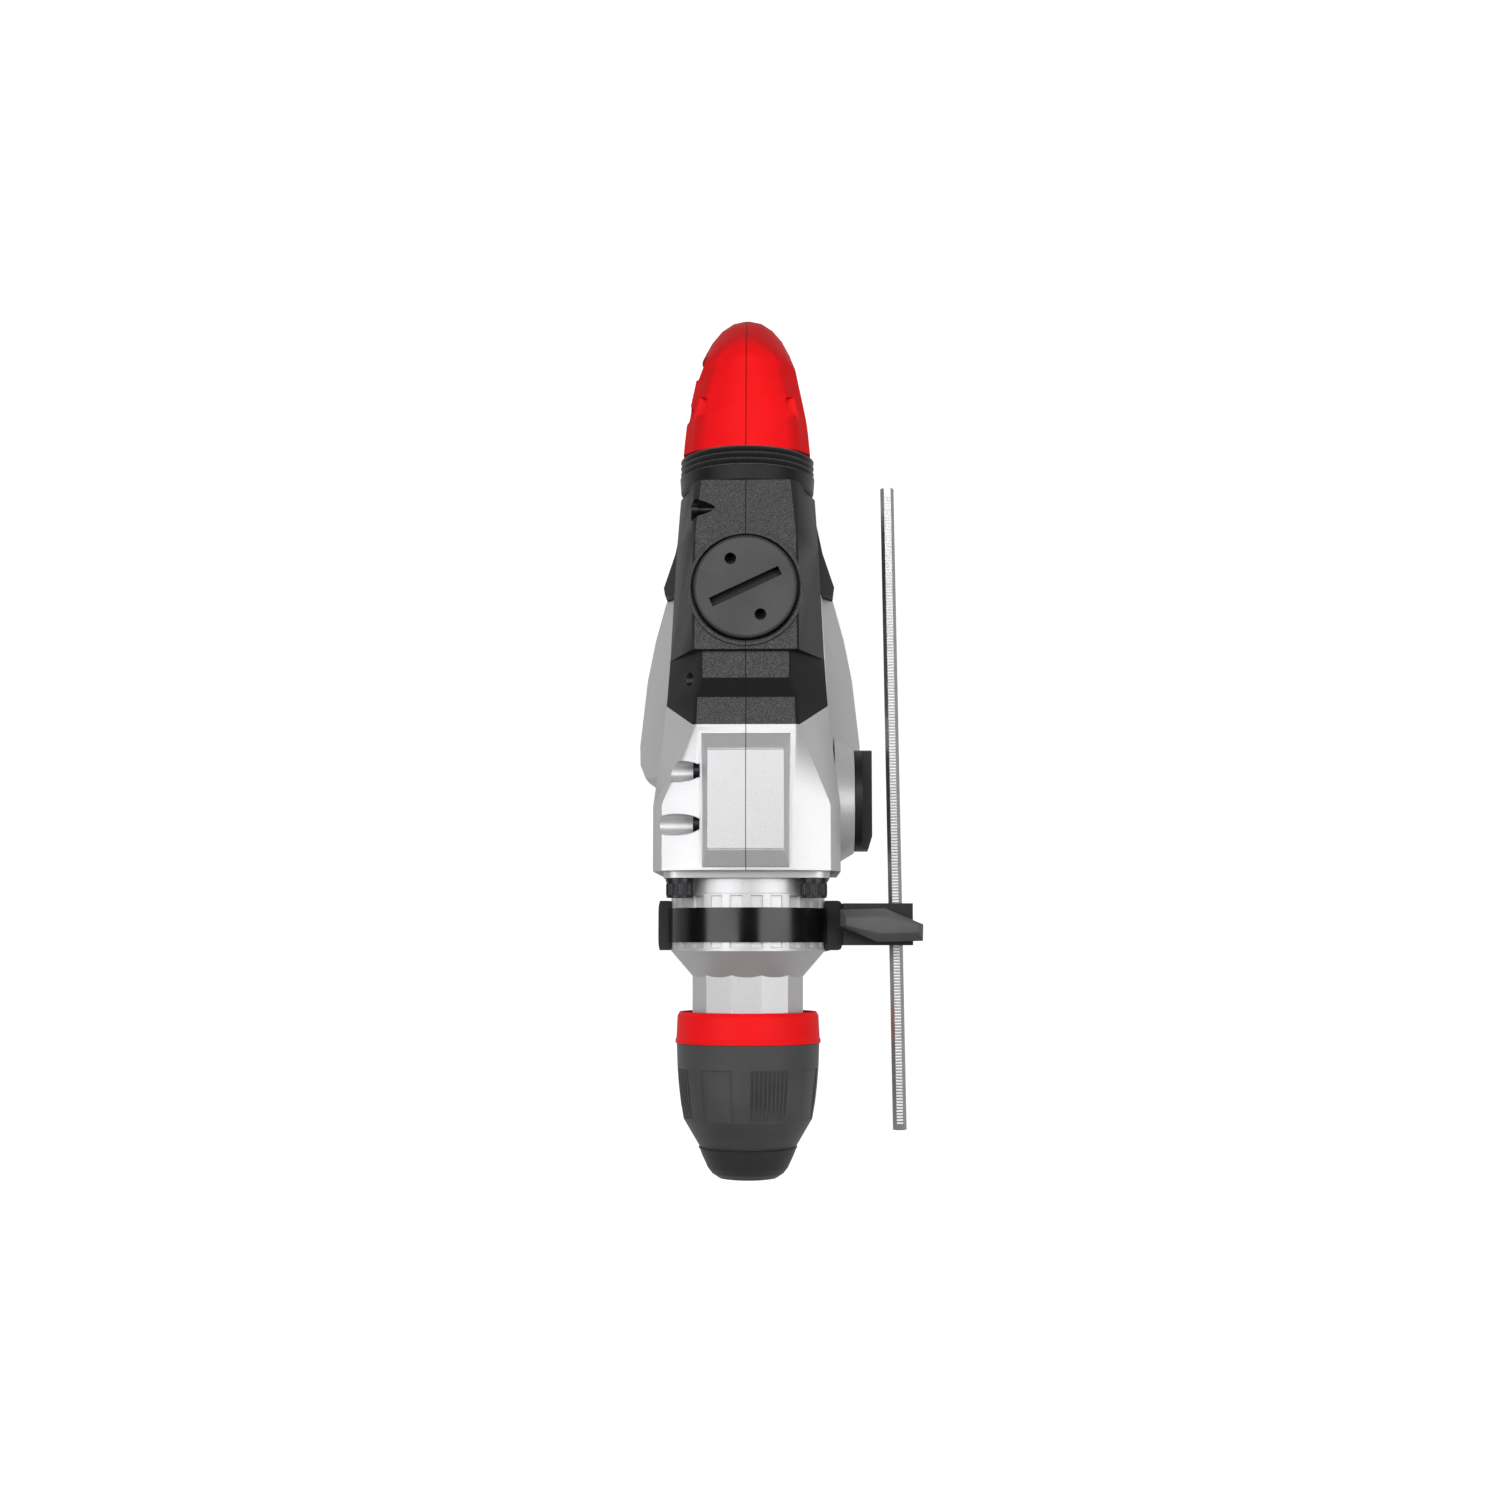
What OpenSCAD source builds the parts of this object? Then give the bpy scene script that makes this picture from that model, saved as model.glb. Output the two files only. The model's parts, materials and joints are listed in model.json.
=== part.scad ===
// Rotary hammer with a keyed 18 mm tool holder, an upright motor and a sprung rear handle.
// The origin is the centre of the tool holder's mouth. The spindle lies along Y, with the nose
// toward -Y, and +Z is up.

/* [Chuck] */
// Shank diameter that the tool holder takes
shank_d = 18; // [17:0.5:19]
// Radius of the chuck sleeve at its rear edge
sleeve_r = 36; // [35.5:0.25:37]
// Travel of the chuck sleeve when it is pulled back
sleeve_travel = 12; // [8:0.5:13]
// Number of grip fields round the sleeve, ribbed and smooth in turn
grip_fields = 8; // [6:2:10]

/* [Barrel] */
// Width of the twelve-sided barrel across its flats
barrel_flats = 55.6; // [54:0.2:57]
// Radius of the grooved collar
collar_r = 39; // [38.5:0.25:40]
// Number of grooves round the collar
collar_grooves = 24; // [12:2:30]
// Half of the distance between the flange screws
screw_half = 33; // [32.5:0.25:34]

/* [Impact drive] */
// Radius of the piston and the striker
piston_r = 16; // [15:0.25:16.5]
// Throw of the crank
crank_throw = 14; // [11:0.5:14]
// Length of the connecting rod between its eyes
rod_eyes = 50; // [49:0.5:52]

/* [Gears] */
// Teeth of the crank gear
crank_teeth = 48; // [46:2:48]
// Teeth of the gear on the bevel shaft
bevel_shaft_teeth = 50; // [48:2:50]

/* [Housing] */
// Wall of the plastic covers
cover_wall = 2.6; // [2.2:0.1:2.8]
// Radius of the upright motor housing
motor_r = 54; // [53:0.5:56]
// Depth of the base below the spindle
base_depth = 176; // [172:1:186]
// Radius of the round crank cap
cap_r = 25.25; // [24:0.25:26]

/* [Rear handle] */
// Number of ribs of the bellows
bellows_ribs = 3; // [2:1:4]
// Travel of the trigger
trigger_travel = 6; // [3:0.5:7]

/* [Side handle] */
// Radius of the side handle's grip
grip_r = 17; // [15:0.5:18]
// Distance of the depth rod from the spindle
rod_x = 75; // [73:0.5:77]
// Depth rod, across its flats
rod_flats = 6; // [5:0.25:6.5]
// Length of the depth rod
rod_length = 328; // [250:2:360]
// Angle at which the clamp holds the depth rod to the spindle
rod_skew = 0.75; // [0:0.05:1]

/* [Hidden] */
$fn = 64;

// Fits
run_fit = 0.04;
air = 0.4;
eps = 0.01;
through = 100;

// Stations along the spindle
cap_end_y = 16;
sleeve_y0 = cap_end_y + air;
sleeve_y1 = 67.5;
ring_y1 = 83;
barrel_y0 = 76;
cone_y0 = 100.7;
collar_y0 = 113.5;
collar_y1 = 141.8;
flange_y1 = 152.6;
strap_y = 126.3;
strap_w = 17;
arm_w = 25;

// Chuck
bore_r = shank_d / 2 + 0.05;
holder_nose_r = bore_r + 3.5;
holder_r = bore_r + 6.95;
holder_rear_r = holder_r + 3;
nose_y = 6;
nose_curve = [[14.5, 0.3], [18, 2.6], [20.2, 5.4], [21.6, 8.4], [22.9, 11.2], [24, 14], [24.3, 14.6]];
holder_step_y = 72;
holder_y1 = 100;
guide_y1 = 26;
key_y0 = 28;
key_y1 = 62;
key_w = 4;
key_depth = 1.5;
bore_relief = 0.35;
roller_r = 4.1;
roller_y0 = 37;
roller_y1 = 48;
roller_bite = 1.25;
roller_x = bore_r - roller_bite + roller_r;
roller_travel = 1.6;
lock_y0 = 34;
lock_y1 = 50;
lock_ring_r = holder_r + 6;
lock_cone = roller_travel / sleeve_travel;
sleeve_wall = 5.5;
sleeve_spring_wire = 0.8;
sleeve_spring_turns = 4;
ring_wall = 3;
ring_step = 0.7;
spigot_y1 = 73;
// Grip of the sleeve: span of the pads, drop of the surface at their ends, width and depth of the
// smooth panels, and the grooves of the ribbed pads
pad_y = [30.2, 55];
pad_turn = 19;
groove_rise = [3.3, 0.4];
panel_turn = 28;
panel_depth = 0.5;
pad_ribs = 9;
rib_turn = 3.6;
rib_groove_r = 0.75;

// Barrel
barrel_bore_r = 22.5;
collar_bore_r = 30;
flange_y0 = 149.2;
screw_boss_r = 8;
flange_half = screw_half + screw_boss_r;
screw_seat_y = flange_y0;
screw_head_r = 6.5;
screw_head_h = 8;
washer_t = 1.6;
socket_r = 3.5;
socket_depth = 5;
screw_r = 4;
groove_w = 6;
groove_depth = 1;
strap_t = 1.2;

// Impact drive
tube_wall = 4.5;
tube_r = piston_r + tube_wall;
tube_y1 = 262;
tube_step_y = 112;
bolt_r = 12;
bolt_y0 = 78;
bolt_collar_y0 = 118;
bolt_collar_y1 = 132;
bolt_y1 = 150;
striker_y0 = 158;
striker_y1 = 190;
seal_y = striker_y1 - 9;
seal_t = 2.5;
crank_y = 290;
wrist_y = crank_y - crank_throw - rod_eyes;
piston_y0 = wrist_y - 20;
piston_y1 = wrist_y + 14;
wrist_r = 5;
crank_pin_r = 6;
rod_half = 7;
disc_z = -rod_half - 1.6;
disc_r = crank_throw + crank_pin_r + 2;

// Gear train
gear_module = 1.25;
pinion_teeth = 10;
gear_shift = 0.4;
gear_backlash = 0.08;
crank_gear_z = [-34, -24];
low_gear_z = [-58, -48];
pinion_z = [-60, -23.5];
motor_y = crank_y - gear_module * (pinion_teeth + crank_teeth) / 2;
bevel_y = motor_y - gear_module * (pinion_teeth + bevel_shaft_teeth) / 2;
bevel_small = 9;
bevel_large = 45;
bevel_face = 6;
case_floor_z = -62;
gear_room = 1.6;
cap_thread_r = 20;
cap_groove = 1.5;
cap_groove_z = 54;
cap_thread_z = 42;
cap_turn = 25;
cap_slot = [37, 4.6];
cap_slot_z = 55.5;
cap_hole_at = 15.6;
cap_hole_r = 2.8;
cap_hole_z = 53;
crank_shaft_r = 8;
crank_bearing_r = 17;
crank_bearing_z = [-50, -37];
bevel_bearing_r = 12;
bevel_bearing_z = [-45, -35];
rear_bearing_r = 27;
rear_bearing_y = [228, 243];

// Crankcase
case_tube_r = 36;
case_tube_y1 = 258;
case_half = 34;
case_bore_r = 31.5;
case_y1 = 338;
tower_r = 34.4;
tower_z = 8;
tower_top_r = 23.5;
tower_top_z = 50;

// Body stations: y, top z, half of the flat top, half width at the eaves, eaves z, side x, side z,
// and 1 where the inside of a step stands one wall behind its face
body_rows = [
    [152.6, 50, 23, 41.4, 43, 46.5, 30, 0],
    [185, 50, 23, 41.4, 43, 46.5, 30, 0],
    [222, 49, 24.4, 26.3, 47.5, 42, 22, 0],
    [237.5, 47, 23.8, 25.5, 45.5, 40.5, 20, 0],
    [246.5, 52, 21, 22.6, 50.2, 39.8, 20, 0],
    [259.4, 52, 21.2, 22.8, 50.2, 39, 18.2, 1],
    [260, 56, 25, 26, 54.8, 38.9, 18, 1],
    [318, 56, 24.6, 26, 54, 36.2, 12, 0],
    [345, 51.5, 22, 26, 46, 34.6, 5, 0]];
body_low_z = -62;
top_cover_z = -20;
top_cover_y = 224;
top_cover_half = 26.3;
top_cover_side = [41, 236.5];
body_y1 = 345;
wing_y1 = 300;
// Plan of the wings on the right side, from the front to the rear
wing_top = [[41, 200], [42.5, 206], [42.5, 212], [42, 222], [40.5, 257], [39.5, 279], [38, 300]];
wing_full = [[48, 199], [55.5, 204.5], [58.5, 212], [58.7, 222], [54.8, 257], [50.5, 279], [44.8, 300]];
// Ridge between the inner slope of a wing and its rim
wing_ridge = [for (p = wing_full) [p[0] - 6, p[1]]];
wing_z = [-20, -31, -42, -70, -88];
panel_rect = [23.2, 153.5, 219.5];
panel_top = [18.5, 163, 211];
panel_z = 54;
channel_r = 5.2;
channel_ys = [175, 201];
channel_z = 45.5;
channel_x = 22.5;
channel_wall = 2.2;
channel_head = 3.2;
thin_screw_r = 2;
// Screw channel and blind hole in the left half of the top cover: y, z, inner x, radius
cover_channel = [330, 50.5, -23.5, 5.5];
cover_channel_tip = 20;
cover_screw_x1 = 18;
cover_screw_head_r = 3.2;
cover_hole = [247, 41, -21, 3.4];
cover_hole_boss = -14;

// Selector
selector_y = 190;
selector_z = -5;
selector_x = 54;
selector_r = 26;
selector_h = 9.3;
selector_shaft_r = 6;
selector_bar = 16;

// Motor
base_z = -base_depth;
base_t = 8;
pad_t = 2;
pad_half = [0.61 * motor_r, 0.775 * motor_r];
tread_half = 24;
tread_pitch = 9;
tread_depth = 2.5;
motor_wall = 3.5;
motor_top_z = -62;
motor_height = motor_top_z - base_z;
core_z = [base_z + 0.37 * motor_height, base_z + 0.68 * motor_height];
stator_r = motor_r - motor_wall - air;
armature_r = 26.8;
winding_r = 20;
air_gap = 0.6;
commutator_r = 15;
commutator_z = [base_z + 0.195 * motor_height, base_z + 0.335 * motor_height];
shaft_r = 5;
fan_z = [core_z[1] + 0.055 * motor_height, core_z[1] + 0.125 * motor_height];
fan_r = motor_r - 16;
upper_bearing_z = [motor_top_z - 11, motor_top_z - 2];
lower_bearing_z = [base_z + base_t + 1, base_z + base_t + 9];
bearing_r = 13;
brush_w = 6;
brush_h = 4;
brush_length = 16;
vent_count = 7;
coil_slot = [[30, -9], [39, -13], [39, 13], [30, 9]];
rear_block = [[44.4, 300.4], [45, 304], [39, 322], [35, 341]];
rear_block_z = [-100, -20.4];

// Pivot of the rear handle at the foot of the motor
pivot_y = 322;
pivot_z = base_z + 26;
pivot_r = 5;

// Rear handle: inner edge y and z, outer edge y and z, half width, then the width, depth and
// roundness of the outer corners, where 1 is a straight chamfer and 2 an ellipse, and the fall of
// the top from its middle to the corners
handle_rows = [
    [363, -18, 363, 50, 32, 6, 9, 1, 12],
    [372, -18.5, 380, 48, 30.6, 5.2, 9, 1, 11.5],
    [378, -20, 391, 46.5, 28.8, 8, 10, 1, 9],
    [382, -22.5, 405, 44, 26.4, 9.8, 12, 1.1, 6],
    [385, -25.5, 416, 41, 24.4, 19.4, 16, 1.4, 1],
    [387.5, -29, 432, 24, 22.4, 20.4, 24, 1.8, 0],
    [390, -33, 441, 1, 20.5, 19.5, 27, 2, 0],
    [393, -40, 442, -22, 19, 18, 24, 2, 0],
    [396, -56, 435, -56, 17.5, 16.5, 19, 2, 0],
    [393.3, -83, 429.5, -89, 17, 16, 18, 2, 0],
    [387, -102.5, 421, -117.5, 18, 16, 18, 2, 0],
    [378.3, -117, 404, -145, 19, 16, 18, 2, 0],
    [366, pivot_z + 23, 378, pivot_z - 11, 19.5, 14, 15, 2, 0],
    [350.4, pivot_z + 15, 353.6, pivot_z - 15, 20.5, 8, 9, 1.6, 0],
    [336, pivot_z + 12, 336, pivot_z - 14, 21, 5, 6, 1.4, 0]];
crown_shares = [0.3, 0.65];
handle_steps = 3;
inner_round = [0.7, 0.35];
notch_plan = [[19.8, 384.8], [19.8, 390.2], [40, 399], [40, 371]];
notch_z = 33;
side_notch = [[-19.5, 414], [-40, 414], [-40, 402], [-24.5, 402]];
side_notch_z = -13;
lug_half = 12;
lug_room = 0.4;
lug_r = 9;
cheek_half = 21;
cheek_r = 11;
bellows_y0 = 345;
bellows_band_y = 354;
handle_y0 = 363;
bellows_points = 28;
bellows_half = [34, 36];
bellows_z = 16;
bellows_wall = 4;
rib_depth = 1.5;
handle_spring_r = 10;
handle_spring_wire = 1.3;
handle_spring_turns = 6;
handle_spring_z = 15;
handle_spring_y = [332, 371];
trigger_z = [-74, -28];
trigger_half = 9;
trigger_y = [386, 404];
switch_half = 10;
switch_y1 = 426;
switch_z = [-66, -32];
plunger_r = 3;
plunger_z = -50;
gland_y = 398;
gland_z = -146;
gland_bore = 4.5;
handle_screw_at = [[384, 26], [409, -8], [407, -102], [362, -147]];
handle_screw_x = 14;
handle_head_r = 4.4;
gland_r = 8;
gland_drop = 8;

// Side handle: x, z, half of its width along Y, half of its thickness, tilt of the section
grip_lift = 0.22;
grip_z = base_z + grip_r + grip_lift;
arm_x = collar_r + 3;
block_x = [48, 83];
block_y = [116.3, 137.3];
block_z = [-12, 13];
bolt_x = rod_x - 8;
clamp_r = 3;
knob_z = [13.3, 26];
knob_plan = [[-20.4, 7.8], [1.7, 8.4], [20.6, 0.4], [20.4, -7.8], [-1.7, -8.4], [-20.6, -0.4]];
knob_top = [0.88, 0.5];
knob_slope = 5;
knob_roof = 4;
rod_y0 = 24;
rod_room = 0.15;
side_points = 20;
side_steps = 3;

steel = [0.72, 0.73, 0.75];
dark_steel = [0.16, 0.16, 0.17];
silver = [0.80, 0.80, 0.81];
alloy = [0.70, 0.71, 0.72];
charcoal = [0.20, 0.20, 0.21];
black = [0.07, 0.07, 0.075];
red = [0.86, 0.09, 0.11];
copper = [0.72, 0.42, 0.22];

// Placing helpers
module box(x, y, z) {
    translate([x[0], y[0], z[0]]) cube([x[1] - x[0], y[1] - y[0], z[1] - z[0]]);
}

module y_cyl(y0, y1, r, x = 0, z = 0) {
    translate([x, y0, z]) rotate([-90, 0, 0]) cylinder(h = y1 - y0, r = r);
}

module y_cone(y0, y1, r0, r1) {
    translate([0, y0, 0]) rotate([-90, 0, 0]) cylinder(h = y1 - y0, r1 = r0, r2 = r1);
}

module z_cyl(y, z0, z1, r, x = 0) {
    translate([x, y, z0]) cylinder(h = z1 - z0, r = r);
}

module x_cyl(x0, x1, y, z, r) {
    translate([x0, y, z]) rotate([0, 90, 0]) cylinder(h = x1 - x0, r = r);
}

module y_ring(y0, y1, outer, inner) {
    difference() {
        y_cyl(y0, y1, outer);
        y_cyl(y0 - 1, y1 + 1, inner);
    }
}

module z_ring(y, z0, z1, outer, inner) {
    difference() {
        z_cyl(y, z0, z1, outer);
        z_cyl(y, z0 - 1, z1 + 1, inner);
    }
}

// A profile of radius and station turned about the spindle
module turned(profile) {
    rotate([-90, 0, 0]) rotate_extrude() polygon(profile);
}

// A profile of radius and height turned about an upright axis
module upright(y, profile) {
    translate([0, y, 0]) rotate_extrude() polygon(profile);
}

module half_space(side) {
    big = 1000;
    translate([side > 0 ? 0 : -big, -big / 2, -big / 2]) cube(big);
}

// A solid skinned over rings of equal count
module skin(rings) {
    n = len(rings[0]);
    last = len(rings) - 1;
    points = [for (ring = rings) for (p = ring) p];
    sides = [for (k = [0:last - 1]) for (i = [0:n - 1]) let (j = (i + 1) % n)
        for (f = [[k * n + i, (k + 1) * n + j, k * n + j],
            [k * n + i, (k + 1) * n + i, (k + 1) * n + j]]) f];
    start = [[for (i = [0:n - 1]) i]];
    finish = [[for (i = [n - 1:-1:0]) last * n + i]];
    polyhedron(points = points, faces = concat(sides, start, finish), convexity = 6);
}

function bent(value, power) = sign(value) * pow(abs(value), power);

// Rounded outline with half sizes a and b, where n = 2 is an ellipse
function round_outline(a, b, n, count) = [for (i = [0:count - 1]) let (t = 360 * (i + 0.5) / count)
    [a * bent(sin(t), 2 / n), b * bent(cos(t), 2 / n)]];

// Rows of numbers with more rows between them, on a smooth curve through all of them
function curve(a, b, c, d, t) = 0.5 * (2 * b + (c - a) * t + (2 * a - 5 * b + 4 * c - d) * t * t
    + (3 * b - a - 3 * c + d) * t * t * t);

function smooth_rows(rows, steps) = let (last = len(rows) - 1)
    concat([for (i = [0:last - 1]) for (s = [0:steps - 1])
        curve(rows[max(i - 1, 0)], rows[i], rows[i + 1], rows[min(i + 2, last)], s / steps)], [rows[last]]);

// Coil spring along Y, one unbroken tube
function coil_ring(radius, wire, length, turns, k, steps, sides) = let (
    t = 360 * turns * k / steps,
    y = length * k / steps)
    [for (s = [0:sides - 1]) let (a = 360 * s / sides, r = radius + wire * cos(a))
        [r * sin(t), y - wire * sin(a), r * cos(t)]];

module coil(radius, wire, length, turns) {
    steps = turns * 8;
    sides = 6;
    skin([for (k = [0:steps]) coil_ring(radius, wire, length, turns, k, steps, sides)]);
    echo(coil_gap = length / turns - 2 * wire);
}

// Involute teeth
function involute_angle(r, base) = r <= base ? 0 : let (a = acos(base / r)) tan(a) * 180 / PI - a;

function tooth_half(r, pitch_r, teeth, shift, backlash) = let (
    base = pitch_r * cos(20),
    at_pitch = (90 + 2 * shift * tan(20) * 180 / PI) / teeth - backlash / (2 * pitch_r) * 180 / PI)
    at_pitch + involute_angle(pitch_r, base) - involute_angle(r, base);

function flank_radii(root, tip, base) = let (low = max(root, base))
    [root, low + (tip - low) * 0.15, low + (tip - low) * 0.55, tip];

function gear_outline(teeth, shift) = let (
    pitch_r = gear_module * teeth / 2,
    radii = flank_radii(pitch_r - gear_module * (1.25 - shift), pitch_r + gear_module * (1 + shift),
        pitch_r * cos(20)))
    [for (k = [0:teeth - 1]) for (side = [-1, 1]) for (i = [0:3])
        let (r = radii[side < 0 ? i : 3 - i],
            a = 360 * k / teeth + side * tooth_half(r, pitch_r, teeth, shift, gear_backlash))
        [r * cos(a), r * sin(a)]];

module spur_gear(teeth, shift, y, z, turn) {
    translate([0, y, z[0]]) rotate([0, 0, turn]) linear_extrude(z[1] - z[0])
        polygon(gear_outline(teeth, shift));
}

// Straight bevel teeth with the cone's apex at the origin and the axis along +Z
function bevel_ring(teeth, mate, shift, share) = let (
    cone = atan(teeth / mate),
    pitch_r = gear_module * teeth / 2,
    reach = pitch_r / sin(cone),
    back_r = pitch_r / cos(cone),
    back_teeth = teeth / cos(cone),
    radii = flank_radii(back_r - gear_module * (1.25 - shift), back_r + gear_module * (1 + shift),
        back_r * cos(20)))
    [for (k = [0:teeth - 1]) for (side = [-1, 1]) for (i = [0:3])
        let (r = radii[side < 0 ? i : 3 - i],
            half = tooth_half(r, back_r, back_teeth, shift, gear_backlash) / cos(cone),
            a = 360 * k / teeth + side * half)
        share * [r * cos(cone) * cos(a), r * cos(cone) * sin(a), reach / cos(cone) - r * sin(cone)]];

module bevel_teeth(teeth, mate, shift) {
    cone = atan(teeth / mate);
    pitch_r = gear_module * teeth / 2;
    reach = pitch_r / sin(cone);
    near = 1 - bevel_face / reach;
    inner = bevel_ring(teeth, mate, shift, near);
    outer = bevel_ring(teeth, mate, shift, 1);
    n = len(outer);
    back_z = pitch_r / tan(cone) + gear_module * (1.25 - shift) * sin(cone);
    points = concat(inner, outer, [[0, 0, near * back_z], [0, 0, back_z + 0.2]]);
    sides = [for (i = [0:n - 1]) let (j = (i + 1) % n)
        for (f = [[i, n + j, j], [i, n + i, n + j]]) f];
    ends = [for (i = [0:n - 1]) let (j = (i + 1) % n)
        for (f = [[i, j, 2 * n], [n + j, n + i, 2 * n + 1]]) f];
    polyhedron(points = points, faces = concat(sides, ends), convexity = 10);
}

// Chuck
module tool_holder() {
    color(steel) difference() {
        turned([[0, 0], [holder_nose_r, 0], [holder_nose_r, nose_y], [holder_r, nose_y],
            [holder_r, holder_step_y],
            [holder_rear_r, holder_step_y], [holder_rear_r, holder_y1], [0, holder_y1]]);
        difference() {
            turned([[0, -1], [bore_r, -1], [bore_r, guide_y1], [bore_r + bore_relief, guide_y1],
                [bore_r + bore_relief, holder_step_y], [0, holder_step_y]]);
            for (turn = [0:120:240]) rotate([0, turn, 0]) {
                box([-key_w / 2, key_w / 2], [key_y0, key_y1], [bore_r - key_depth, bore_r + 2]);
            }
        }
        y_cyl(holder_step_y - eps, holder_y1 + 1, bolt_r + run_fit);
        for (side = [-1, 1]) {
            box([min(side * 2, side * 30), max(side * 2, side * 30)],
                [roller_y0 - 0.2, roller_y1 + 0.2], [-roller_r - 0.1, roller_r + 0.1]);
        }
    }
}

module dust_cap() {
    color(charcoal) turned(concat([[holder_nose_r, 0]], nose_curve, [[nose_curve[6][0] + 0.3, cap_end_y],
        [holder_r, cap_end_y], [holder_r, nose_y], [holder_nose_r, nose_y]]));
}

// Outline of the sleeve from its front chamfer to its rear edge
function sleeve_outline() = [[sleeve_r - 11.4, sleeve_y0], [sleeve_r - 3.6, 29.6], [sleeve_r - 2.1, 38],
    [sleeve_r - 1.1, 46.5], [sleeve_r - 0.35, 56], [sleeve_r, 66.6], [sleeve_r, sleeve_y1]];

// Recessed smooth panels and grooved pads, by turns round the sleeve
module sleeve_pads() {
    pitch = 360 / grip_fields;
    slope = atan((groove_rise[1] - groove_rise[0]) / (pad_y[1] - pad_y[0]));
    for (k = [0:grip_fields - 1]) rotate([0, pad_turn + pitch * k, 0]) {
        if (k % 2 == 0) {
            for (i = [-(pad_ribs - 1) / 2:(pad_ribs - 1) / 2]) rotate([0, i * rib_turn, 0])
                translate([0, pad_y[0], sleeve_r - groove_rise[0]]) rotate([-90 - slope, 0, 0])
                    cylinder(h = (pad_y[1] - pad_y[0]) / cos(slope), r = rib_groove_r);
        } else intersection() {
            turned([[sleeve_r + 5, pad_y[0]], [sleeve_r + 5, pad_y[1]],
                [sleeve_r - groove_rise[1] - panel_depth, pad_y[1]],
                [sleeve_r - groove_rise[0] - panel_depth, pad_y[0]]]);
            rotate([-90, 0, 0]) rotate([0, 0, -90 - panel_turn / 2]) rotate_extrude(angle = panel_turn)
                square([sleeve_r + 6, 60]);
        }
    }
}

module chuck_sleeve() {
    color(charcoal) difference() {
        turned(concat([[lock_ring_r, sleeve_y0]], sleeve_outline(),
            [[sleeve_r - ring_wall, sleeve_y1], [sleeve_r - ring_wall, spigot_y1],
            [sleeve_r - sleeve_wall, spigot_y1], [sleeve_r - sleeve_wall, 55], [lock_ring_r, 52]]));
        sleeve_pads();
    }
}

module sleeve_ring() {
    color(red) turned([[sleeve_r - ring_wall, sleeve_y1], [sleeve_r + ring_step, sleeve_y1],
        [sleeve_r + ring_step, sleeve_y1 + 1.6], [sleeve_r + 0.2, sleeve_y1 + 2.6],
        [sleeve_r - 0.3, ring_y1 - 2], [sleeve_r - 1.4, ring_y1], [sleeve_r - ring_wall, ring_y1]]);
}

module lock_ring() {
    cone_r = holder_r + run_fit + 0.06 + (roller_y1 - lock_y0) * lock_cone;
    color(steel) difference() {
        y_cyl(lock_y0, lock_y1, lock_ring_r);
        y_cyl(lock_y0 - 1, lock_y1 + 1, holder_r + run_fit);
        y_cone(lock_y0 - eps, roller_y1 + 0.5, cone_r + 0.1, holder_r + 0.06);
    }
}

module sleeve_spring() {
    color(dark_steel) translate([0, lock_y1 + sleeve_spring_wire, 0])
        coil(holder_r + 2.6, sleeve_spring_wire, holder_step_y - lock_y1 - 2 * sleeve_spring_wire,
            sleeve_spring_turns);
}

module lock_roller(side) {
    color(steel) y_cyl(roller_y0, roller_y1, roller_r, side * roller_x);
}

// Barrel
module flange_body() {
    for (sx = [-1, 1], sz = [-1, 1]) {
        y_cyl(flange_y0, flange_y1, screw_boss_r, sx * screw_half, sz * screw_half);
    }
    box([-screw_half, screw_half], [flange_y0, flange_y1], [-flange_half, flange_half]);
    box([-flange_half, flange_half], [flange_y0, flange_y1], [-screw_half, screw_half]);
}

module barrel_housing() {
    color(silver) difference() {
        union() {
            translate([0, barrel_y0, 0]) rotate([-90, 0, 0]) rotate([0, 0, 15])
                cylinder(h = collar_y0 - barrel_y0, r = barrel_flats / 2 / cos(15), $fn = 12);
            y_cone(cone_y0, collar_y0, barrel_flats / 2 + 0.2, collar_r);
            y_cyl(collar_y0 - eps, collar_y1, collar_r);
            y_cyl(collar_y1 - 1, flange_y0 + 1, collar_r - 1);
            flange_body();
        }
        y_cyl(barrel_y0 - 1, holder_y1 + 4, barrel_bore_r);
        y_cyl(holder_y1 + 4 - eps, flange_y1 + 1, collar_bore_r);
        for (k = [0:collar_grooves - 1]) rotate([0, (k + 0.5) * 360 / collar_grooves, 0]) {
            box([-groove_w / 2, groove_w / 2], [collar_y0 + 1.6, collar_y1 - 1.2],
                [collar_r - groove_depth, collar_r + 2]);
        }
        for (sx = [-1, 1], sz = [-1, 1]) {
            y_cyl(flange_y0 - 1, flange_y1 + 1, screw_r + 0.4, sx * screw_half, sz * screw_half);
        }
    }
}

module socket_screw(x, z) {
    difference() {
        union() {
            y_cyl(screw_seat_y - screw_head_h - washer_t, screw_seat_y - washer_t, screw_head_r, x, z);
            y_cyl(screw_seat_y - washer_t - 0.1, screw_seat_y, screw_head_r + 0.4, x, z);
            y_cyl(screw_seat_y - 1, flange_y1 + 14, screw_r, x, z);
        }
        translate([x, screw_seat_y - screw_head_h - washer_t - 0.4, z]) rotate([-90, 0, 0])
            cylinder(h = socket_depth, r = socket_r, $fn = 6);
    }
}

// Screw along X whose head lies in a channel
module channel_screw(x0, x1, y, z, head_r) {
    x_cyl(x0 - channel_head, x0, y, z, head_r);
    x_cyl(x0 - 1, x1, y, z, thin_screw_r);
}

module housing_screws() {
    color(dark_steel) {
        for (sx = [-1, 1], sz = [-1, 1]) socket_screw(sx * screw_half, sz * screw_half);
        for (y = channel_ys) channel_screw(-channel_x, channel_x - 6, y, channel_z, channel_r - 0.6);
        channel_screw(cover_channel[2], cover_screw_x1, cover_channel[0], cover_channel[1],
            cover_screw_head_r);
    }
}

module front_bearing() {
    color("darkgoldenrod") y_ring(barrel_y0 + 4, holder_y1 - 2, barrel_bore_r, holder_rear_r + run_fit);
}

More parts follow.
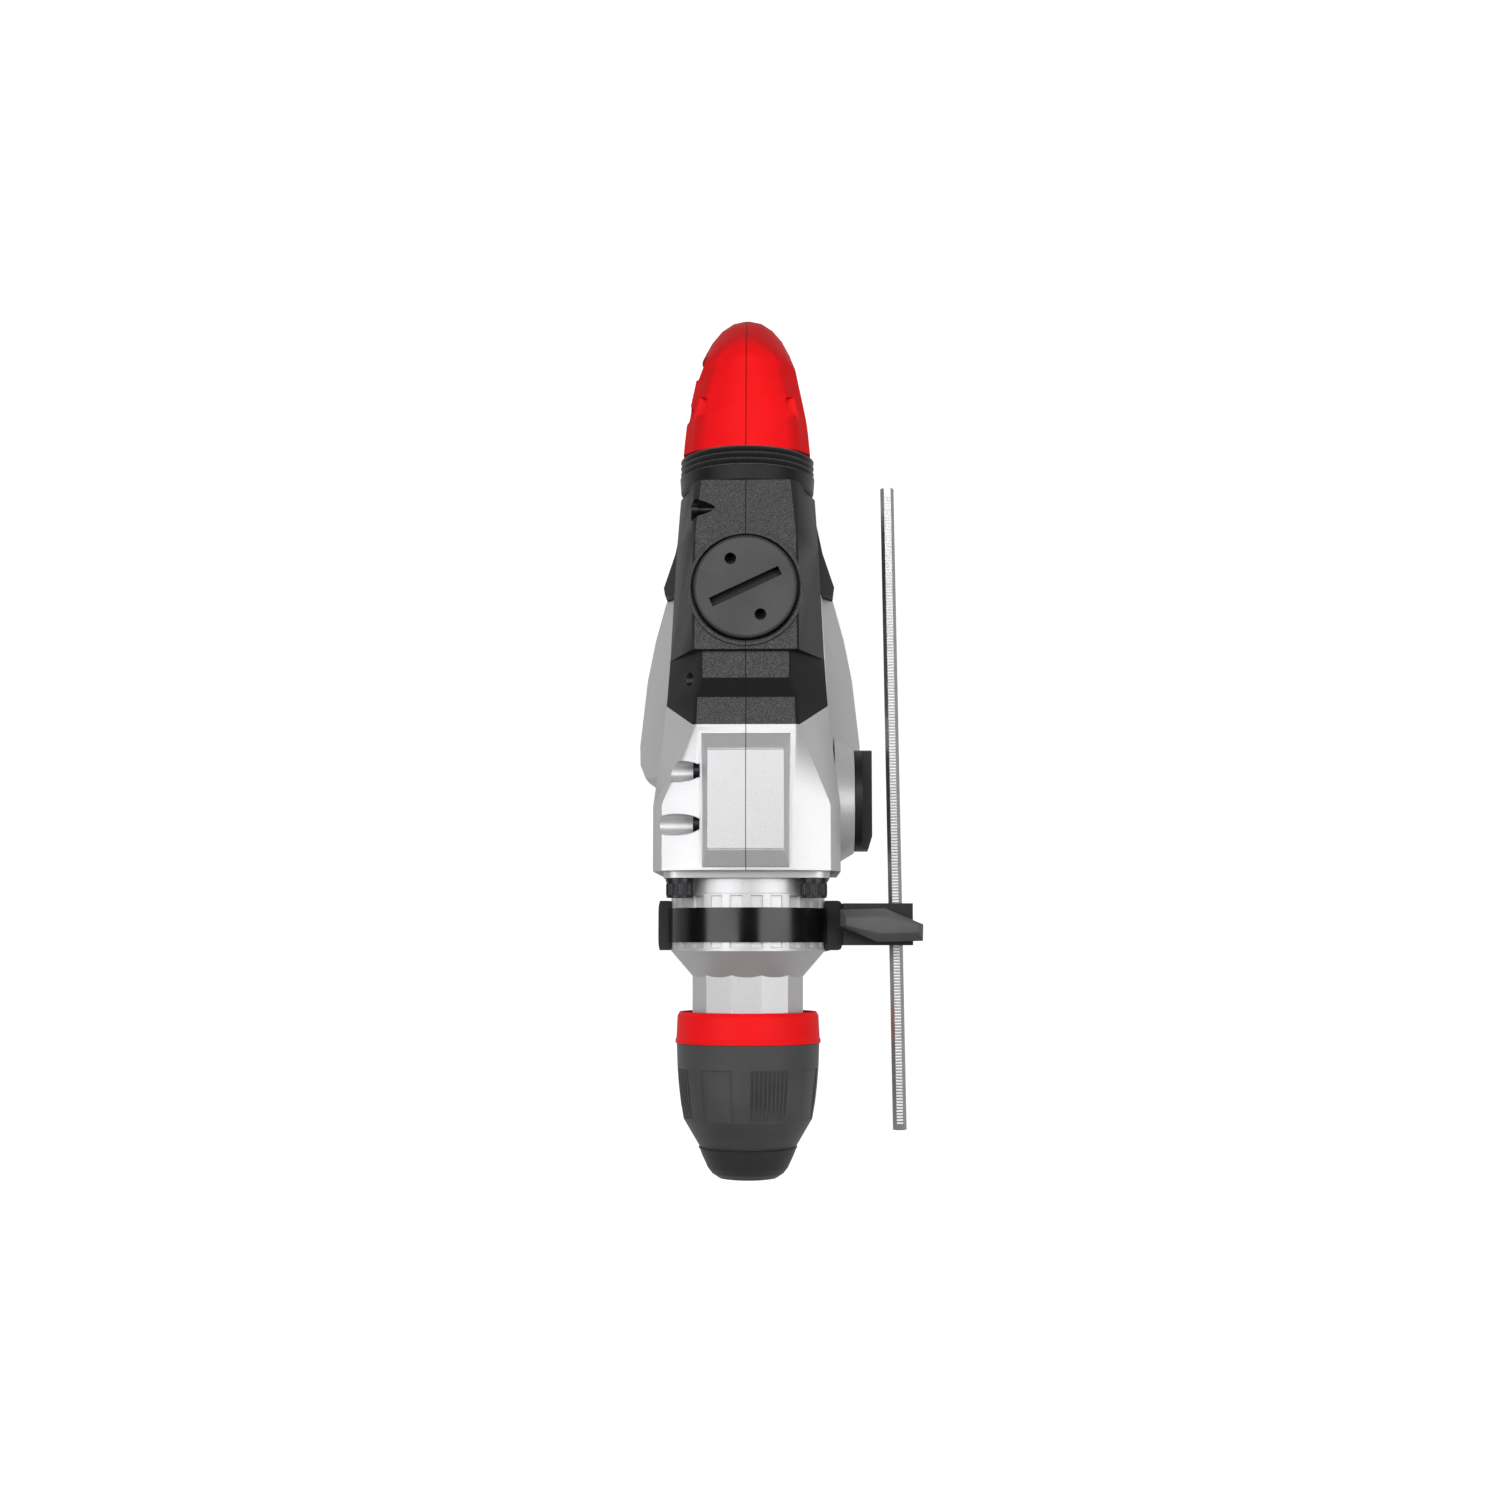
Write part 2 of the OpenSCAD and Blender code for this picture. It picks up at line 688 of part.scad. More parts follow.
module spindle_seal() {
    color(black) y_ring(barrel_y0 + 0.4, barrel_y0 + 3.6, barrel_bore_r, holder_rear_r + 0.05);
}

module rear_bearing() {
    color(steel) y_ring(rear_bearing_y[0], rear_bearing_y[1], rear_bearing_r, tube_r + run_fit);
}

// Impact drive
module hammer_tube() {
    color(steel) difference() {
        y_cyl(holder_y1, tube_y1, tube_r);
        y_cyl(holder_y1 - 1, tube_y1 + 1, bolt_r + run_fit);
        y_cyl(tube_step_y, tube_y1 + 1, piston_r + run_fit);
    }
}

module ring_gear() {
    color(dark_steel) difference() {
        union() {
            translate([0, bevel_y, 0]) rotate([90, 0, 0]) rotate([0, 0, -90 + 180 / bevel_large])
                bevel_teeth(bevel_large, bevel_small, -gear_shift);
            y_cyl(bevel_y - 19, bevel_y - 7.4, 26.5);
        }
        y_cyl(bevel_y - 40, bevel_y + 40, tube_r);
    }
}

module impact_bolt() {
    color(steel) turned([[0, bolt_y0], [bolt_r - 2, bolt_y0], [bolt_r, bolt_y0 + 2], [bolt_r, bolt_collar_y0],
        [piston_r - 0.3, bolt_collar_y0], [piston_r - 0.3, bolt_collar_y1], [10, bolt_collar_y1 + 2],
        [10, bolt_y1 - 1], [9, bolt_y1], [0, bolt_y1]]);
}

module striker() {
    color(steel) turned([[0, striker_y0], [10, striker_y0], [11, striker_y0 + 1], [11, striker_y0 + 10],
        [piston_r, striker_y0 + 12], [piston_r, seal_y], [piston_r - seal_t, seal_y],
        [piston_r - seal_t, seal_y + 4], [piston_r, seal_y + 4], [piston_r, striker_y1], [0, striker_y1]]);
}

module striker_seal() {
    color(black) y_ring(seal_y + 0.2, seal_y + 3.8, piston_r, piston_r - seal_t);
}

module piston() {
    color(alloy) difference() {
        y_cyl(piston_y0, piston_y1, piston_r);
        y_cyl(piston_y0 + 8, piston_y1 + 1, piston_r - 3);
        z_cyl(wrist_y, -40, 40, wrist_r);
    }
}

module wrist_pin() {
    color(steel) z_cyl(wrist_y, -piston_r + 1.5, piston_r - 1.5, wrist_r);
}

module connecting_rod() {
    pin_y = wrist_y + rod_eyes;
    color(dark_steel) difference() {
        union() {
            z_cyl(wrist_y, -rod_half, rod_half, wrist_r + 3.5);
            z_cyl(pin_y, -rod_half, rod_half, crank_pin_r + 4);
            box([-4.5, 4.5], [wrist_y, pin_y], [-rod_half + 1.5, rod_half - 1.5]);
        }
        z_cyl(wrist_y, -40, 40, wrist_r + run_fit);
        z_cyl(pin_y, -40, 40, crank_pin_r);
    }
}

module crank_pin() {
    color(steel) z_cyl(wrist_y + rod_eyes, disc_z + 0.4, rod_half + 2, crank_pin_r);
}

module crankshaft() {
    color(steel) difference() {
        union() {
            z_cyl(crank_y, disc_z - 10, disc_z, disc_r);
            z_cyl(crank_y, case_floor_z + 2, disc_z - 9, crank_shaft_r);
        }
        // Lightened side of the disc, opposite the counterweight
        for (side = [-1, 1]) z_cyl(crank_y - disc_r * 0.62, disc_z - 12, disc_z + 1, 4.5, side * 9);
    }
}

module crank_gear() {
    color(steel) difference() {
        spur_gear(crank_teeth, -gear_shift, crank_y, crank_gear_z, -90 + 180 / crank_teeth);
        z_cyl(crank_y, -100, 0, crank_shaft_r);
    }
}

module gear_bearings() {
    color(steel) {
        z_ring(crank_y, crank_bearing_z[0], crank_bearing_z[1], crank_bearing_r, crank_shaft_r + run_fit);
        z_ring(bevel_y, bevel_bearing_z[0], bevel_bearing_z[1], bevel_bearing_r, shaft_r + run_fit);
    }
}

module bevel_shaft() {
    color(dark_steel) union() {
        translate([0, bevel_y, 0]) rotate([180, 0, 0]) rotate([0, 0, 90])
            bevel_teeth(bevel_small, bevel_large, gear_shift);
        z_cyl(bevel_y, -33, -28.2, 6.5);
        z_cyl(bevel_y, case_floor_z + 1, -30, shaft_r);
    }
}

module intermediate_gear() {
    color(steel) difference() {
        spur_gear(bevel_shaft_teeth, -gear_shift, bevel_y, low_gear_z, 90 + 180 / bevel_shaft_teeth);
        z_cyl(bevel_y, -100, 0, shaft_r);
    }
}

// Motor
module armature_shaft() {
    color(steel) union() {
        spur_gear(pinion_teeth, gear_shift, motor_y, pinion_z, 90);
        z_cyl(motor_y, base_z + base_t + 0.6, pinion_z[0] + eps, shaft_r);
    }
}

module armature_core() {
    slots = 12;
    color(dark_steel) difference() {
        union() {
            z_cyl(motor_y, core_z[0], core_z[1], armature_r);
            z_cyl(motor_y, commutator_z[1], core_z[1] + 0.04 * motor_height, winding_r);
        }
        for (k = [0:slots - 1]) translate([0, motor_y, 0]) rotate([0, 0, k * 360 / slots])
            box([armature_r - 3, armature_r + 1], [-1.2, 1.2], [core_z[0] - 1, core_z[1] + 1]);
        z_cyl(motor_y, -400, 0, shaft_r);
    }
}

module commutator() {
    color(copper) z_ring(motor_y, commutator_z[0], commutator_z[1], commutator_r, shaft_r);
}

module fan() {
    blades = 11;
    color(charcoal) difference() {
        union() {
            z_cyl(motor_y, fan_z[0], fan_z[0] + 2, fan_r);
            z_cyl(motor_y, fan_z[0], fan_z[1], 10);
            for (k = [0:blades - 1]) translate([0, motor_y, 0]) rotate([0, 0, k * 360 / blades])
                box([14, fan_r - 0.5], [-0.8, 0.8], [fan_z[0] + 1, fan_z[1]]);
        }
        z_cyl(motor_y, -400, 0, shaft_r);
    }
}

module armature_bearings() {
    color(steel) {
        z_ring(motor_y, upper_bearing_z[0], upper_bearing_z[1], bearing_r, shaft_r + run_fit);
        z_ring(motor_y, lower_bearing_z[0], lower_bearing_z[1], bearing_r - 2, shaft_r + run_fit);
    }
}

module stator_core() {
    color(dark_steel) difference() {
        z_cyl(motor_y, core_z[0], core_z[1], stator_r + air);
        z_cyl(motor_y, core_z[0] - 1, core_z[1] + 1, armature_r + air_gap);
        for (side = [-1, 1]) {
            translate([0, motor_y, core_z[0] - 1]) rotate([0, 0, side * 90])
                linear_extrude(core_z[1] - core_z[0] + 2) polygon(coil_slot);
        }
    }
}

module field_coils() {
    color(copper) for (side = [-1, 1]) translate([0, motor_y, core_z[0] - 4]) rotate([0, 0, side * 90])
        linear_extrude(core_z[1] - core_z[0] + 8) polygon(coil_slot);
}

module brush_holders() {
    holder_end = sqrt(pow(motor_r - motor_wall, 2) - pow(brush_w + 2, 2));
    z_mid = (commutator_z[0] + commutator_z[1]) / 2;
    color("peru") for (turn = [0, 180]) translate([0, motor_y, z_mid]) rotate([0, 0, turn]) difference() {
        box([commutator_r + 3, holder_end], [-brush_w - 2, brush_w + 2], [-brush_h - 2, brush_h + 2]);
        box([commutator_r, holder_end - 4], [-brush_w, brush_w], [-brush_h, brush_h]);
    }
}

module carbon_brushes() {
    z_mid = (commutator_z[0] + commutator_z[1]) / 2;
    color(black) for (turn = [0, 180]) translate([0, motor_y, z_mid]) rotate([0, 0, turn]) difference() {
        box([commutator_r - 3, commutator_r + brush_length], [-brush_w, brush_w], [-brush_h, brush_h]);
        translate([0, 0, -10]) cylinder(h = 20, r = commutator_r + 0.03);
    }
}

module motor_vents() {
    for (side = [-1, 1], k = [0:vent_count - 1]) translate([0, motor_y, 0]) {
        rotate([0, 0, side * 90 + (k - (vent_count - 1) / 2) * 9 - 90])
            box([motor_r - 8, motor_r + 5], [-1.6, 1.6], [base_z + 22, base_z + 40]);
    }
}

module motor_housing() {
    floor_z = base_z + base_t;
    color(black) difference() {
        union() {
            z_cyl(motor_y, floor_z, wing_z[4] - air, motor_r);
            z_cyl(motor_y, floor_z, motor_top_z, motor_r - cover_wall - 4);
            translate([0, 0, rear_block_z[0]]) linear_extrude(rear_block_z[1] - rear_block_z[0])
                polygon(concat(rear_block,
                    [for (i = [len(rear_block) - 1:-1:0]) [-rear_block[i][0], rear_block[i][1]]]));
            box([-lug_half, lug_half], [motor_y + motor_r - 8, pivot_y], [pivot_z - lug_r, pivot_z + lug_r]);
            x_cyl(-lug_half, lug_half, pivot_y, pivot_z, lug_r);
        }
        z_cyl(motor_y, floor_z - 1, wing_z[4] - 4, motor_r - motor_wall);
        z_cyl(motor_y, wing_z[4] - 5, motor_top_z - 14, fan_r + 6);
        z_cyl(motor_y, motor_top_z - 15, motor_top_z + 1, bearing_r);
        z_cyl(motor_y, motor_top_z - 20, motor_top_z - 13, fan_r + 6);
        z_cyl(crank_y, motor_top_z, 1, 35);
        box([-40, 40], [200, crank_y], [motor_top_z, 10]);
        box([-31, 31], [crank_y, 338.4], [motor_top_z, 10]);
        x_cyl(-40, 40, pivot_y, pivot_z, pivot_r + run_fit);
        motor_vents();
    }
}

module motor_base() {
    color(black) difference() {
        union() {
            z_cyl(motor_y, base_z + pad_t, base_z + base_t, motor_r);
            translate([0, motor_y, base_z])
                box([-pad_half[0], pad_half[0]], [-pad_half[1], pad_half[1]], [0, base_t / 2]);
            z_ring(motor_y, base_z + base_t, lower_bearing_z[1], bearing_r + 2, bearing_r - 2);
        }
        for (k = [-3:3]) translate([0, motor_y + k * tread_pitch, base_z])
            box([-tread_half, tread_half], [-2, 2], [-1, tread_depth]);
        z_cyl(motor_y, base_z + base_t - 0.6, base_z + base_t + 1, bearing_r - 2);
    }
}

// Crankcase: the casting inside the covers
module case_plate(y0, y1) {
    outline = [for (p = body_ring(body_rows[0], cover_wall)) [p[0], -max(p[2], body_low_z)]];
    translate([0, y0, 0]) rotate([-90, 0, 0]) linear_extrude(y1 - y0) polygon(outline);
}

module crankcase() {
    chamber_r = gear_module * crank_teeth / 2 + gear_room;
    low_r = gear_module * bevel_shaft_teeth / 2 + gear_room;
    floor_z = case_floor_z;
    color(alloy) difference() {
        union() {
            y_cyl(flange_y1, case_tube_y1, case_tube_r);
            box([-case_half, case_half], [flange_y1 + 1, case_tube_y1], [floor_z, 0]);
            upright(crank_y, [[0, floor_z], [tower_r, floor_z], [tower_r, tower_z],
                [tower_top_r, tower_top_z], [0, tower_top_z]]);
            box([-22, 22], [crank_y, case_y1], [-44, 30]);
            case_plate(flange_y1, flange_y1 + 8);
            for (sx = [-1, 1], sz = [-1, 1])
                y_cyl(flange_y1 + 1, flange_y1 + 18, screw_boss_r - 1.6, sx * screw_half, sz * screw_half);
            for (y = [crank_y - cap_r - 2.1, crank_y + cap_r + 0.4])
                box([-12, 12], [y, y + 1.7], [20, body_rows[6][1] - cover_wall]);
        }
        turned([[0, flange_y1 - 1], [case_bore_r, flange_y1 - 1], [case_bore_r, rear_bearing_y[0] - 2],
            [rear_bearing_r, rear_bearing_y[0] - 2], [rear_bearing_r, rear_bearing_y[1]],
            [tube_r + 4, rear_bearing_y[1]], [tube_r + 4, crank_y - 15], [0, crank_y - 15]]);
        upright(crank_y, [[0, floor_z + 1.6], [crank_shaft_r + 1, floor_z + 1.6],
            [crank_shaft_r + 1, crank_bearing_z[0]],
            [crank_bearing_r, crank_bearing_z[0]], [crank_bearing_r, crank_gear_z[0] - 2],
            [chamber_r, crank_gear_z[0] - 2], [chamber_r, tower_z], [cap_thread_r, cap_thread_z],
            [cap_thread_r, tower_top_z + 10], [0, tower_top_z + 10]]);
        upright(bevel_y, [[0, floor_z + 0.6], [shaft_r + 1, floor_z + 0.6], [shaft_r + 1, floor_z + 3],
            [low_r, floor_z + 3], [low_r, low_gear_z[1] + 2], [bevel_bearing_r, low_gear_z[1] + 2],
            [bevel_bearing_r, -20], [0, -20]]);
        z_cyl(motor_y, floor_z - 1, -20, shaft_r + 5);
        y_cyl(handle_spring_y[0], case_y1 + 2, handle_spring_r + 3, 0, handle_spring_z);
        for (sx = [-1, 1], sz = [-1, 1])
            y_cyl(flange_y1 - 1, flange_y1 + 15, screw_r, sx * screw_half, sz * screw_half);
        x_cyl(20, 60, selector_y, selector_z, selector_shaft_r + 0.5);
    }
}

// Outer form of the covers
function body_ring(row, inset) = let (
    right = [[row[2] - inset * 0.3, row[1] - inset], [row[3] - inset * 0.8, row[4] - inset * 0.8],
        [row[5] - inset, row[6]], [row[5] - inset, body_low_z - (inset > 0 ? 1 : 0)]])
    [for (p = concat(right, [for (i = [3:-1:0]) [-right[i][0], right[i][1]]]))
        [p[0], row[0] + inset * row[7], p[1]]];

module body_form(inset) {
    skin([for (row = body_rows) body_ring(row, inset)]);
}

function mirrored(plan, z) = concat([for (p = plan) [p[0], p[1], z]],
    [for (i = [len(plan) - 1:-1:0]) [-plan[i][0], plan[i][1], z]]);

function inward(plan, inset) = [for (p = plan) [p[0] - inset, max(p[1], wing_full[0][1] + inset)]];

function wing_low(plan) = [for (p = plan) let (dy = p[1] - motor_y, reach = motor_r + 0.3)
    [sqrt(max(reach * reach - dy * dy, 400)), p[1]]];

module wing_form(inset) {
    plans = [wing_top, wing_ridge, wing_full, wing_full, wing_low(wing_full)];
    skin([for (i = [4:-1:0]) mirrored(inward(plans[i], inset), wing_z[i])]);
}

module top_cover_room() {
    translate([0, 0, top_cover_z]) linear_extrude(100) polygon([[-top_cover_half, top_cover_y],
        [top_cover_half, top_cover_y], top_cover_side, [80, top_cover_side[1]], [80, body_y1 + 50],
        [-80, body_y1 + 50], [-80, top_cover_side[1]], [-top_cover_side[0], top_cover_side[1]]]);
}

module raised_panel() {
    w = panel_rect[0];
    v = panel_top[0];
    low = 47;
    skin([mirrored([[w, panel_rect[1]], [w, panel_rect[2]]], low),
        mirrored([[v, panel_top[1]], [v, panel_top[2]]], panel_z)]);
}

// Bosses of the screw channels, which run across both halves
module channel_bosses() {
    intersection() {
        for (y = channel_ys) x_cyl(-through, through, y, channel_z, channel_r + channel_wall);
        body_form(0);
    }
}

module front_cover(side) {
    difference() {
        intersection() {
            union() {
                difference() {
                    union() {
                        body_form(0);
                        wing_form(0);
                    }
                    body_form(cover_wall);
                    wing_form(cover_wall);
                    box([-100, 100], [wing_y1, 500], [-200, 200]);
                }
                difference() {
                    raised_panel();
                    body_form(cover_wall);
                }
                channel_bosses();
            }
            half_space(side);
        }
        top_cover_room();
    }
}

module front_cover_left() {
    color(silver) difference() {
        front_cover(-1);
        for (y = channel_ys) {
            x_cyl(-through, -channel_x, y, channel_z, channel_r);
            x_cyl(-through, 1, y, channel_z, thin_screw_r);
        }
    }
}

module front_cover_right() {
    boss_x = body_rows[0][5] - cover_wall + 0.1;
    color(silver) difference() {
        union() {
            front_cover(1);
            translate([boss_x, selector_y, selector_z]) rotate([0, 90, 0])
                cylinder(h = selector_x - boss_x, r1 = selector_r + 7, r2 = selector_r + 1);
        }
        x_cyl(20, 60, selector_y, selector_z, selector_shaft_r + run_fit);
        for (y = channel_ys) x_cyl(-1, channel_x - 6, y, channel_z, thin_screw_r);
    }
}

// Bosses of the channel and the hole in the top cover
module cover_bosses() {
    intersection() {
        union() {
            x_cyl(-through, cover_screw_x1 + 3, cover_channel[0], cover_channel[1],
                cover_channel[3] + channel_wall);
            x_cyl(-through, cover_hole_boss, cover_hole[0], cover_hole[1], cover_hole[3] + channel_wall);
        }
        body_form(0);
    }
}

module top_cover(side) {
    color(charcoal) difference() {
        intersection() {
            union() {
                difference() {
                    union() {
                        body_form(0);
                        z_cyl(crank_y, 50, 57.5, 28.4);
                    }
                    body_form(cover_wall);
                }
                cover_bosses();
            }
            top_cover_room();
            half_space(side);
        }
        z_cyl(crank_y, 0, 80, cap_r + 0.3);
        z_cyl(crank_y, cap_groove_z, 80, cap_r + cap_groove);
        x_cyl(-through, cover_channel[2], cover_channel[0], cover_channel[1], cover_channel[3]);
        translate([cover_channel[2] - eps, cover_channel[0], cover_channel[1]]) rotate([0, 90, 0])
            cylinder(h = cover_channel_tip, r1 = cover_channel[3], r2 = 0.5);
        x_cyl(-through, cover_screw_x1, cover_channel[0], cover_channel[1], thin_screw_r);
        x_cyl(-through, cover_hole[2], cover_hole[0], cover_hole[1], cover_hole[3]);
    }
}

module crank_cap() {
    color(charcoal) difference() {
        union() {
            z_cyl(crank_y, 50, 60, cap_r);
            translate([0, crank_y, 60 - eps]) cylinder(h = 1.2, r1 = cap_r, r2 = cap_r - 1.2);
            z_ring(crank_y, cap_thread_z, 50.5, cap_thread_r, cap_thread_r - 4);
        }
        translate([0, crank_y, cap_slot_z]) rotate([0, 0, cap_turn])
            box([-cap_slot[0] / 2, cap_slot[0] / 2], [-cap_slot[1] / 2, cap_slot[1] / 2], [0, 10]);
        for (turn = [93, 273]) translate([0, crank_y, 0]) rotate([0, 0, cap_turn + turn])
            translate([cap_hole_at, 0, cap_hole_z]) cylinder(h = 10, r = cap_hole_r);
    }
}

module selector_knob() {
    color(black) union() {
        x_cyl(selector_x + 0.3, selector_x + 4, selector_y, selector_z, selector_r);
        intersection() {
            x_cyl(selector_x + 0.3, selector_x + selector_h, selector_y, selector_z, selector_r);
            translate([selector_x, selector_y, selector_z - selector_bar / 2]) linear_extrude(selector_bar)
                polygon([[0, -selector_r], [selector_h - 2.3, -selector_r],
                    [selector_h + 0.1, -selector_r + 8], [selector_h + 0.1, selector_r], [0, selector_r]]);
        }
        x_cyl(36, selector_x + 1, selector_y, selector_z, selector_shaft_r);
    }
}

// Rear handle
function handle_section(row) = let (
    depth = norm([row[2] - row[0], row[3] - row[1]]),
    top = [for (share = crown_shares) [(row[4] - row[5]) * share, depth - row[8] * share * share]],
    outer = [for (t = [90:-18:0]) [row[4] - row[5] * (1 - pow(cos(t), 2 / row[7])),
        depth - row[8] - row[6] * (1 - pow(sin(t), 2 / row[7]))]],
    inner = [for (t = [0:30:90]) [row[4] * (1 - inner_round[0] * (1 - cos(t))),
        depth * inner_round[1] * (1 - sin(t))]],
    right = concat(top, outer, inner))
    concat(right, [for (i = [len(right) - 1:-1:0]) [-right[i][0], right[i][1]]]);

function handle_ring(row) = let (
    along = [row[2] - row[0], row[3] - row[1]] / norm([row[2] - row[0], row[3] - row[1]]))
    [for (p = handle_section(row)) [p[0], row[0] + p[1] * along[0], row[1] + p[1] * along[1]]];

module handle_form() {
    skin([for (row = smooth_rows(handle_rows, handle_steps)) handle_ring(row)]);
}

module handle_half(side) {
    color(red) difference() {
        intersection() {
            union() {
                handle_form();
                x_cyl(-cheek_half, cheek_half, pivot_y, pivot_z, cheek_r);
                box([-cheek_half, cheek_half], [pivot_y, pivot_y + 18],
                    [pivot_z - cheek_r, pivot_z + cheek_r]);
            }
            half_space(side);
        }
        box([-lug_half - lug_room, lug_half + lug_room], [pivot_y - 20, pivot_y + 10.5],
            [pivot_z - 30, pivot_z + 30]);
        x_cyl(-through, through, pivot_y, pivot_z, pivot_r);
        y_cyl(300, handle_spring_y[1], handle_spring_r + 3, 0, handle_spring_z);
        box([-trigger_half - 0.4, trigger_half + 0.4], [370, trigger_y[1] + trigger_travel + 0.6],
            [trigger_z[0] - 0.4, trigger_z[1] + 0.4]);
        box([-switch_half, switch_half], [trigger_y[1] + trigger_travel, switch_y1], switch_z);
        z_cyl(gland_y, gland_z - 40, gland_z + 10, gland_r);
        translate([0, 0, notch_z]) linear_extrude(30) polygon([for (p = notch_plan) [side * p[0], p[1]]]);
        translate([0, 0, side_notch_z]) linear_extrude(80) polygon(side_notch);
        for (p = handle_screw_at) {
            x_cyl(-through, -handle_screw_x, p[0], p[1], handle_head_r + 0.6);
            x_cyl(-through, 12, p[0], p[1], thin_screw_r);
        }
    }
}

module handle_screws() {
    color(dark_steel) for (p = handle_screw_at) {
        x_cyl(-handle_screw_x - channel_head, -handle_screw_x, p[0], p[1], handle_head_r);
        x_cyl(-handle_screw_x - 1, 12, p[0], p[1], thin_screw_r);
    }
}

module cord_gland() {
    color(black) difference() {
        z_cyl(gland_y, gland_z - gland_drop, gland_z + 10, gland_r);
        z_cyl(gland_y, gland_z - 30, gland_z + 30, gland_bore);
    }
}

module switch() {
    color(black) difference() {
        box([-switch_half, switch_half], [trigger_y[1] + trigger_travel + 0.6, switch_y1], switch_z);
        y_cyl(trigger_y[0], switch_y1 - 2, plunger_r + run_fit, 0, plunger_z);
    }
}

module trigger() {
    color(black) {
        box([-trigger_half, trigger_half], trigger_y, trigger_z);
        y_cyl(trigger_y[1] - 1, trigger_y[1] + trigger_travel + 4, plunger_r, 0, plunger_z);
    }
}

module handle_pivot_pin() {
    color(steel) x_cyl(-cheek_half, cheek_half, pivot_y, pivot_z, pivot_r);
}

module handle_spring() {
    color(dark_steel) translate([0, handle_spring_y[0] + handle_spring_wire, handle_spring_z])
        coil(handle_spring_r, handle_spring_wire,
            handle_spring_y[1] - handle_spring_y[0] - 2 * handle_spring_wire, handle_spring_turns);
}

function bellows_ring(y, grow) = let (
    outline = round_outline(bellows_half[0] + grow, bellows_half[1] + grow, 2, bellows_points))
    [for (p = outline) [p[0], y, bellows_z + p[1]]];

module bellows() {
    pitch = (handle_y0 - bellows_band_y) / bellows_ribs;
    ribs = [for (k = [0:bellows_ribs - 1]) for (f = [[0.12, -rib_depth], [0.5, 0.4], [0.88, -rib_depth]])
        bellows_ring(bellows_band_y + (k + f[0]) * pitch, f[1])];
    color(black) difference() {
        skin(concat([bellows_ring(bellows_y0, 0), bellows_ring(bellows_band_y - 0.4, 0.6)], ribs,
            [bellows_ring(handle_y0, -rib_depth)]));
        skin([bellows_ring(bellows_y0 - 1, -bellows_wall), bellows_ring(handle_y0 + 1, -bellows_wall)]);
    }
}

// Side handle
function side_ring(row) = [for (p = round_outline(row[3], row[4], row[5], side_points))
    [row[0] + p[1] * cos(row[2]), strap_y + p[0], row[1] + p[1] * sin(row[2])]];

// Loop of the side handle below the barrel: x, z, turn of the section, half width, half thickness,
// roundness of the section
function side_rows() = [
    [-arm_x + 0.2, 6, 180, arm_w / 2, 3.5, 6],
    [-arm_x, -24, 180, arm_w / 2, 4, 6],
    [-arm_x - 0.5, -60, 181, arm_w / 2, 5, 5],
    [-arm_x - 0.5, grip_z + 48, 184, arm_w / 2, 6.5, 3.6],
    [-arm_x + 0.5, grip_z + 25, 205, arm_w / 2 + 1, 9, 2.8],
    [-arm_x + 8, grip_z + 6, 240, grip_r - 2, 12.5, 2.4],
    [-arm_x + 22, grip_z, 268, grip_r - 1, grip_r - 0.5, 2.2],
    [0, grip_z, 270, grip_r, grip_r, 2.2],
    [arm_x - 22, grip_z, 272, grip_r - 1, grip_r - 0.5, 2.2],
    [arm_x - 8, grip_z + 6, 300, grip_r - 2, 12.5, 2.4],
    [arm_x - 0.5, grip_z + 25, 335, arm_w / 2 + 1, 9, 2.8],
    [arm_x + 0.5, grip_z + 48, 356, arm_w / 2, 6.5, 3.6],
    [arm_x + 0.5, -60, 359, arm_w / 2, 5, 5],
    [arm_x + 1, -24, 360, arm_w / 2, 4.9, 6],
    [arm_x + 1, 6, 360, arm_w / 2, 4.9, 6]];

module side_handle() {
    saddle_r = collar_r + 0.1;
    color(black) difference() {
        union() {
            skin([for (row = smooth_rows(side_rows(), side_steps)) side_ring(row)]);
            difference() {
                y_cyl(strap_y - arm_w / 2, strap_y + arm_w / 2, saddle_r + 6);
                box([-100, 100], [0, 300], [0, 100]);
            }
            box([arm_x, block_x[0]], block_y, [block_z[0], 6]);
        }
        y_cyl(strap_y - arm_w, strap_y + arm_w, saddle_r);
        intersection() {
            y_cyl(strap_y - strap_w / 2, strap_y + strap_w / 2, collar_r + 0.15 + strap_t);
            box([-100, 100], [0, 300], [-6, 100]);
        }
    }
}

module strap() {
    color(dark_steel) difference() {
        y_ring(strap_y - strap_w / 2, strap_y + strap_w / 2, collar_r + 0.15 + strap_t, collar_r + 0.15);
        box([-100, 100], [0, 300], [-100, -6]);
    }
}

module clamp_block() {
    color(charcoal) difference() {
        box(block_x, block_y, block_z);
        depth_rod_hole();
        z_cyl(strap_y, -50, 50, clamp_r + 0.1, bolt_x);
    }
}

module rod_bar(flats, y0, y1) {
    translate([rod_x, strap_y, 0]) rotate([0, 0, rod_skew]) translate([0, y0 - strap_y, 0])
        rotate([-90, 0, 0]) cylinder(h = y1 - y0, r = flats / 2 / cos(30), $fn = 6);
}

module depth_rod_hole() {
    rod_bar(rod_flats + 2 * rod_room, 0, 300);
}

module clamp_bolt() {
    color(steel) union() {
        z_cyl(strap_y, block_z[0] - 4, knob_z[1] - knob_roof - 0.5, clamp_r, bolt_x);
        z_cyl(strap_y, block_z[0] - 4, block_z[0], 5.5, bolt_x);
    }
}

module wing_knob() {
    color(charcoal) difference() {
        skin([
            knob_ring([1, 1], knob_z[0]),
            knob_ring([1, 1], knob_z[1] - knob_slope),
            knob_ring(knob_top, knob_z[1])
        ]);
        z_cyl(strap_y, 0, knob_z[1] - knob_roof, clamp_r + run_fit, bolt_x);
    }
}

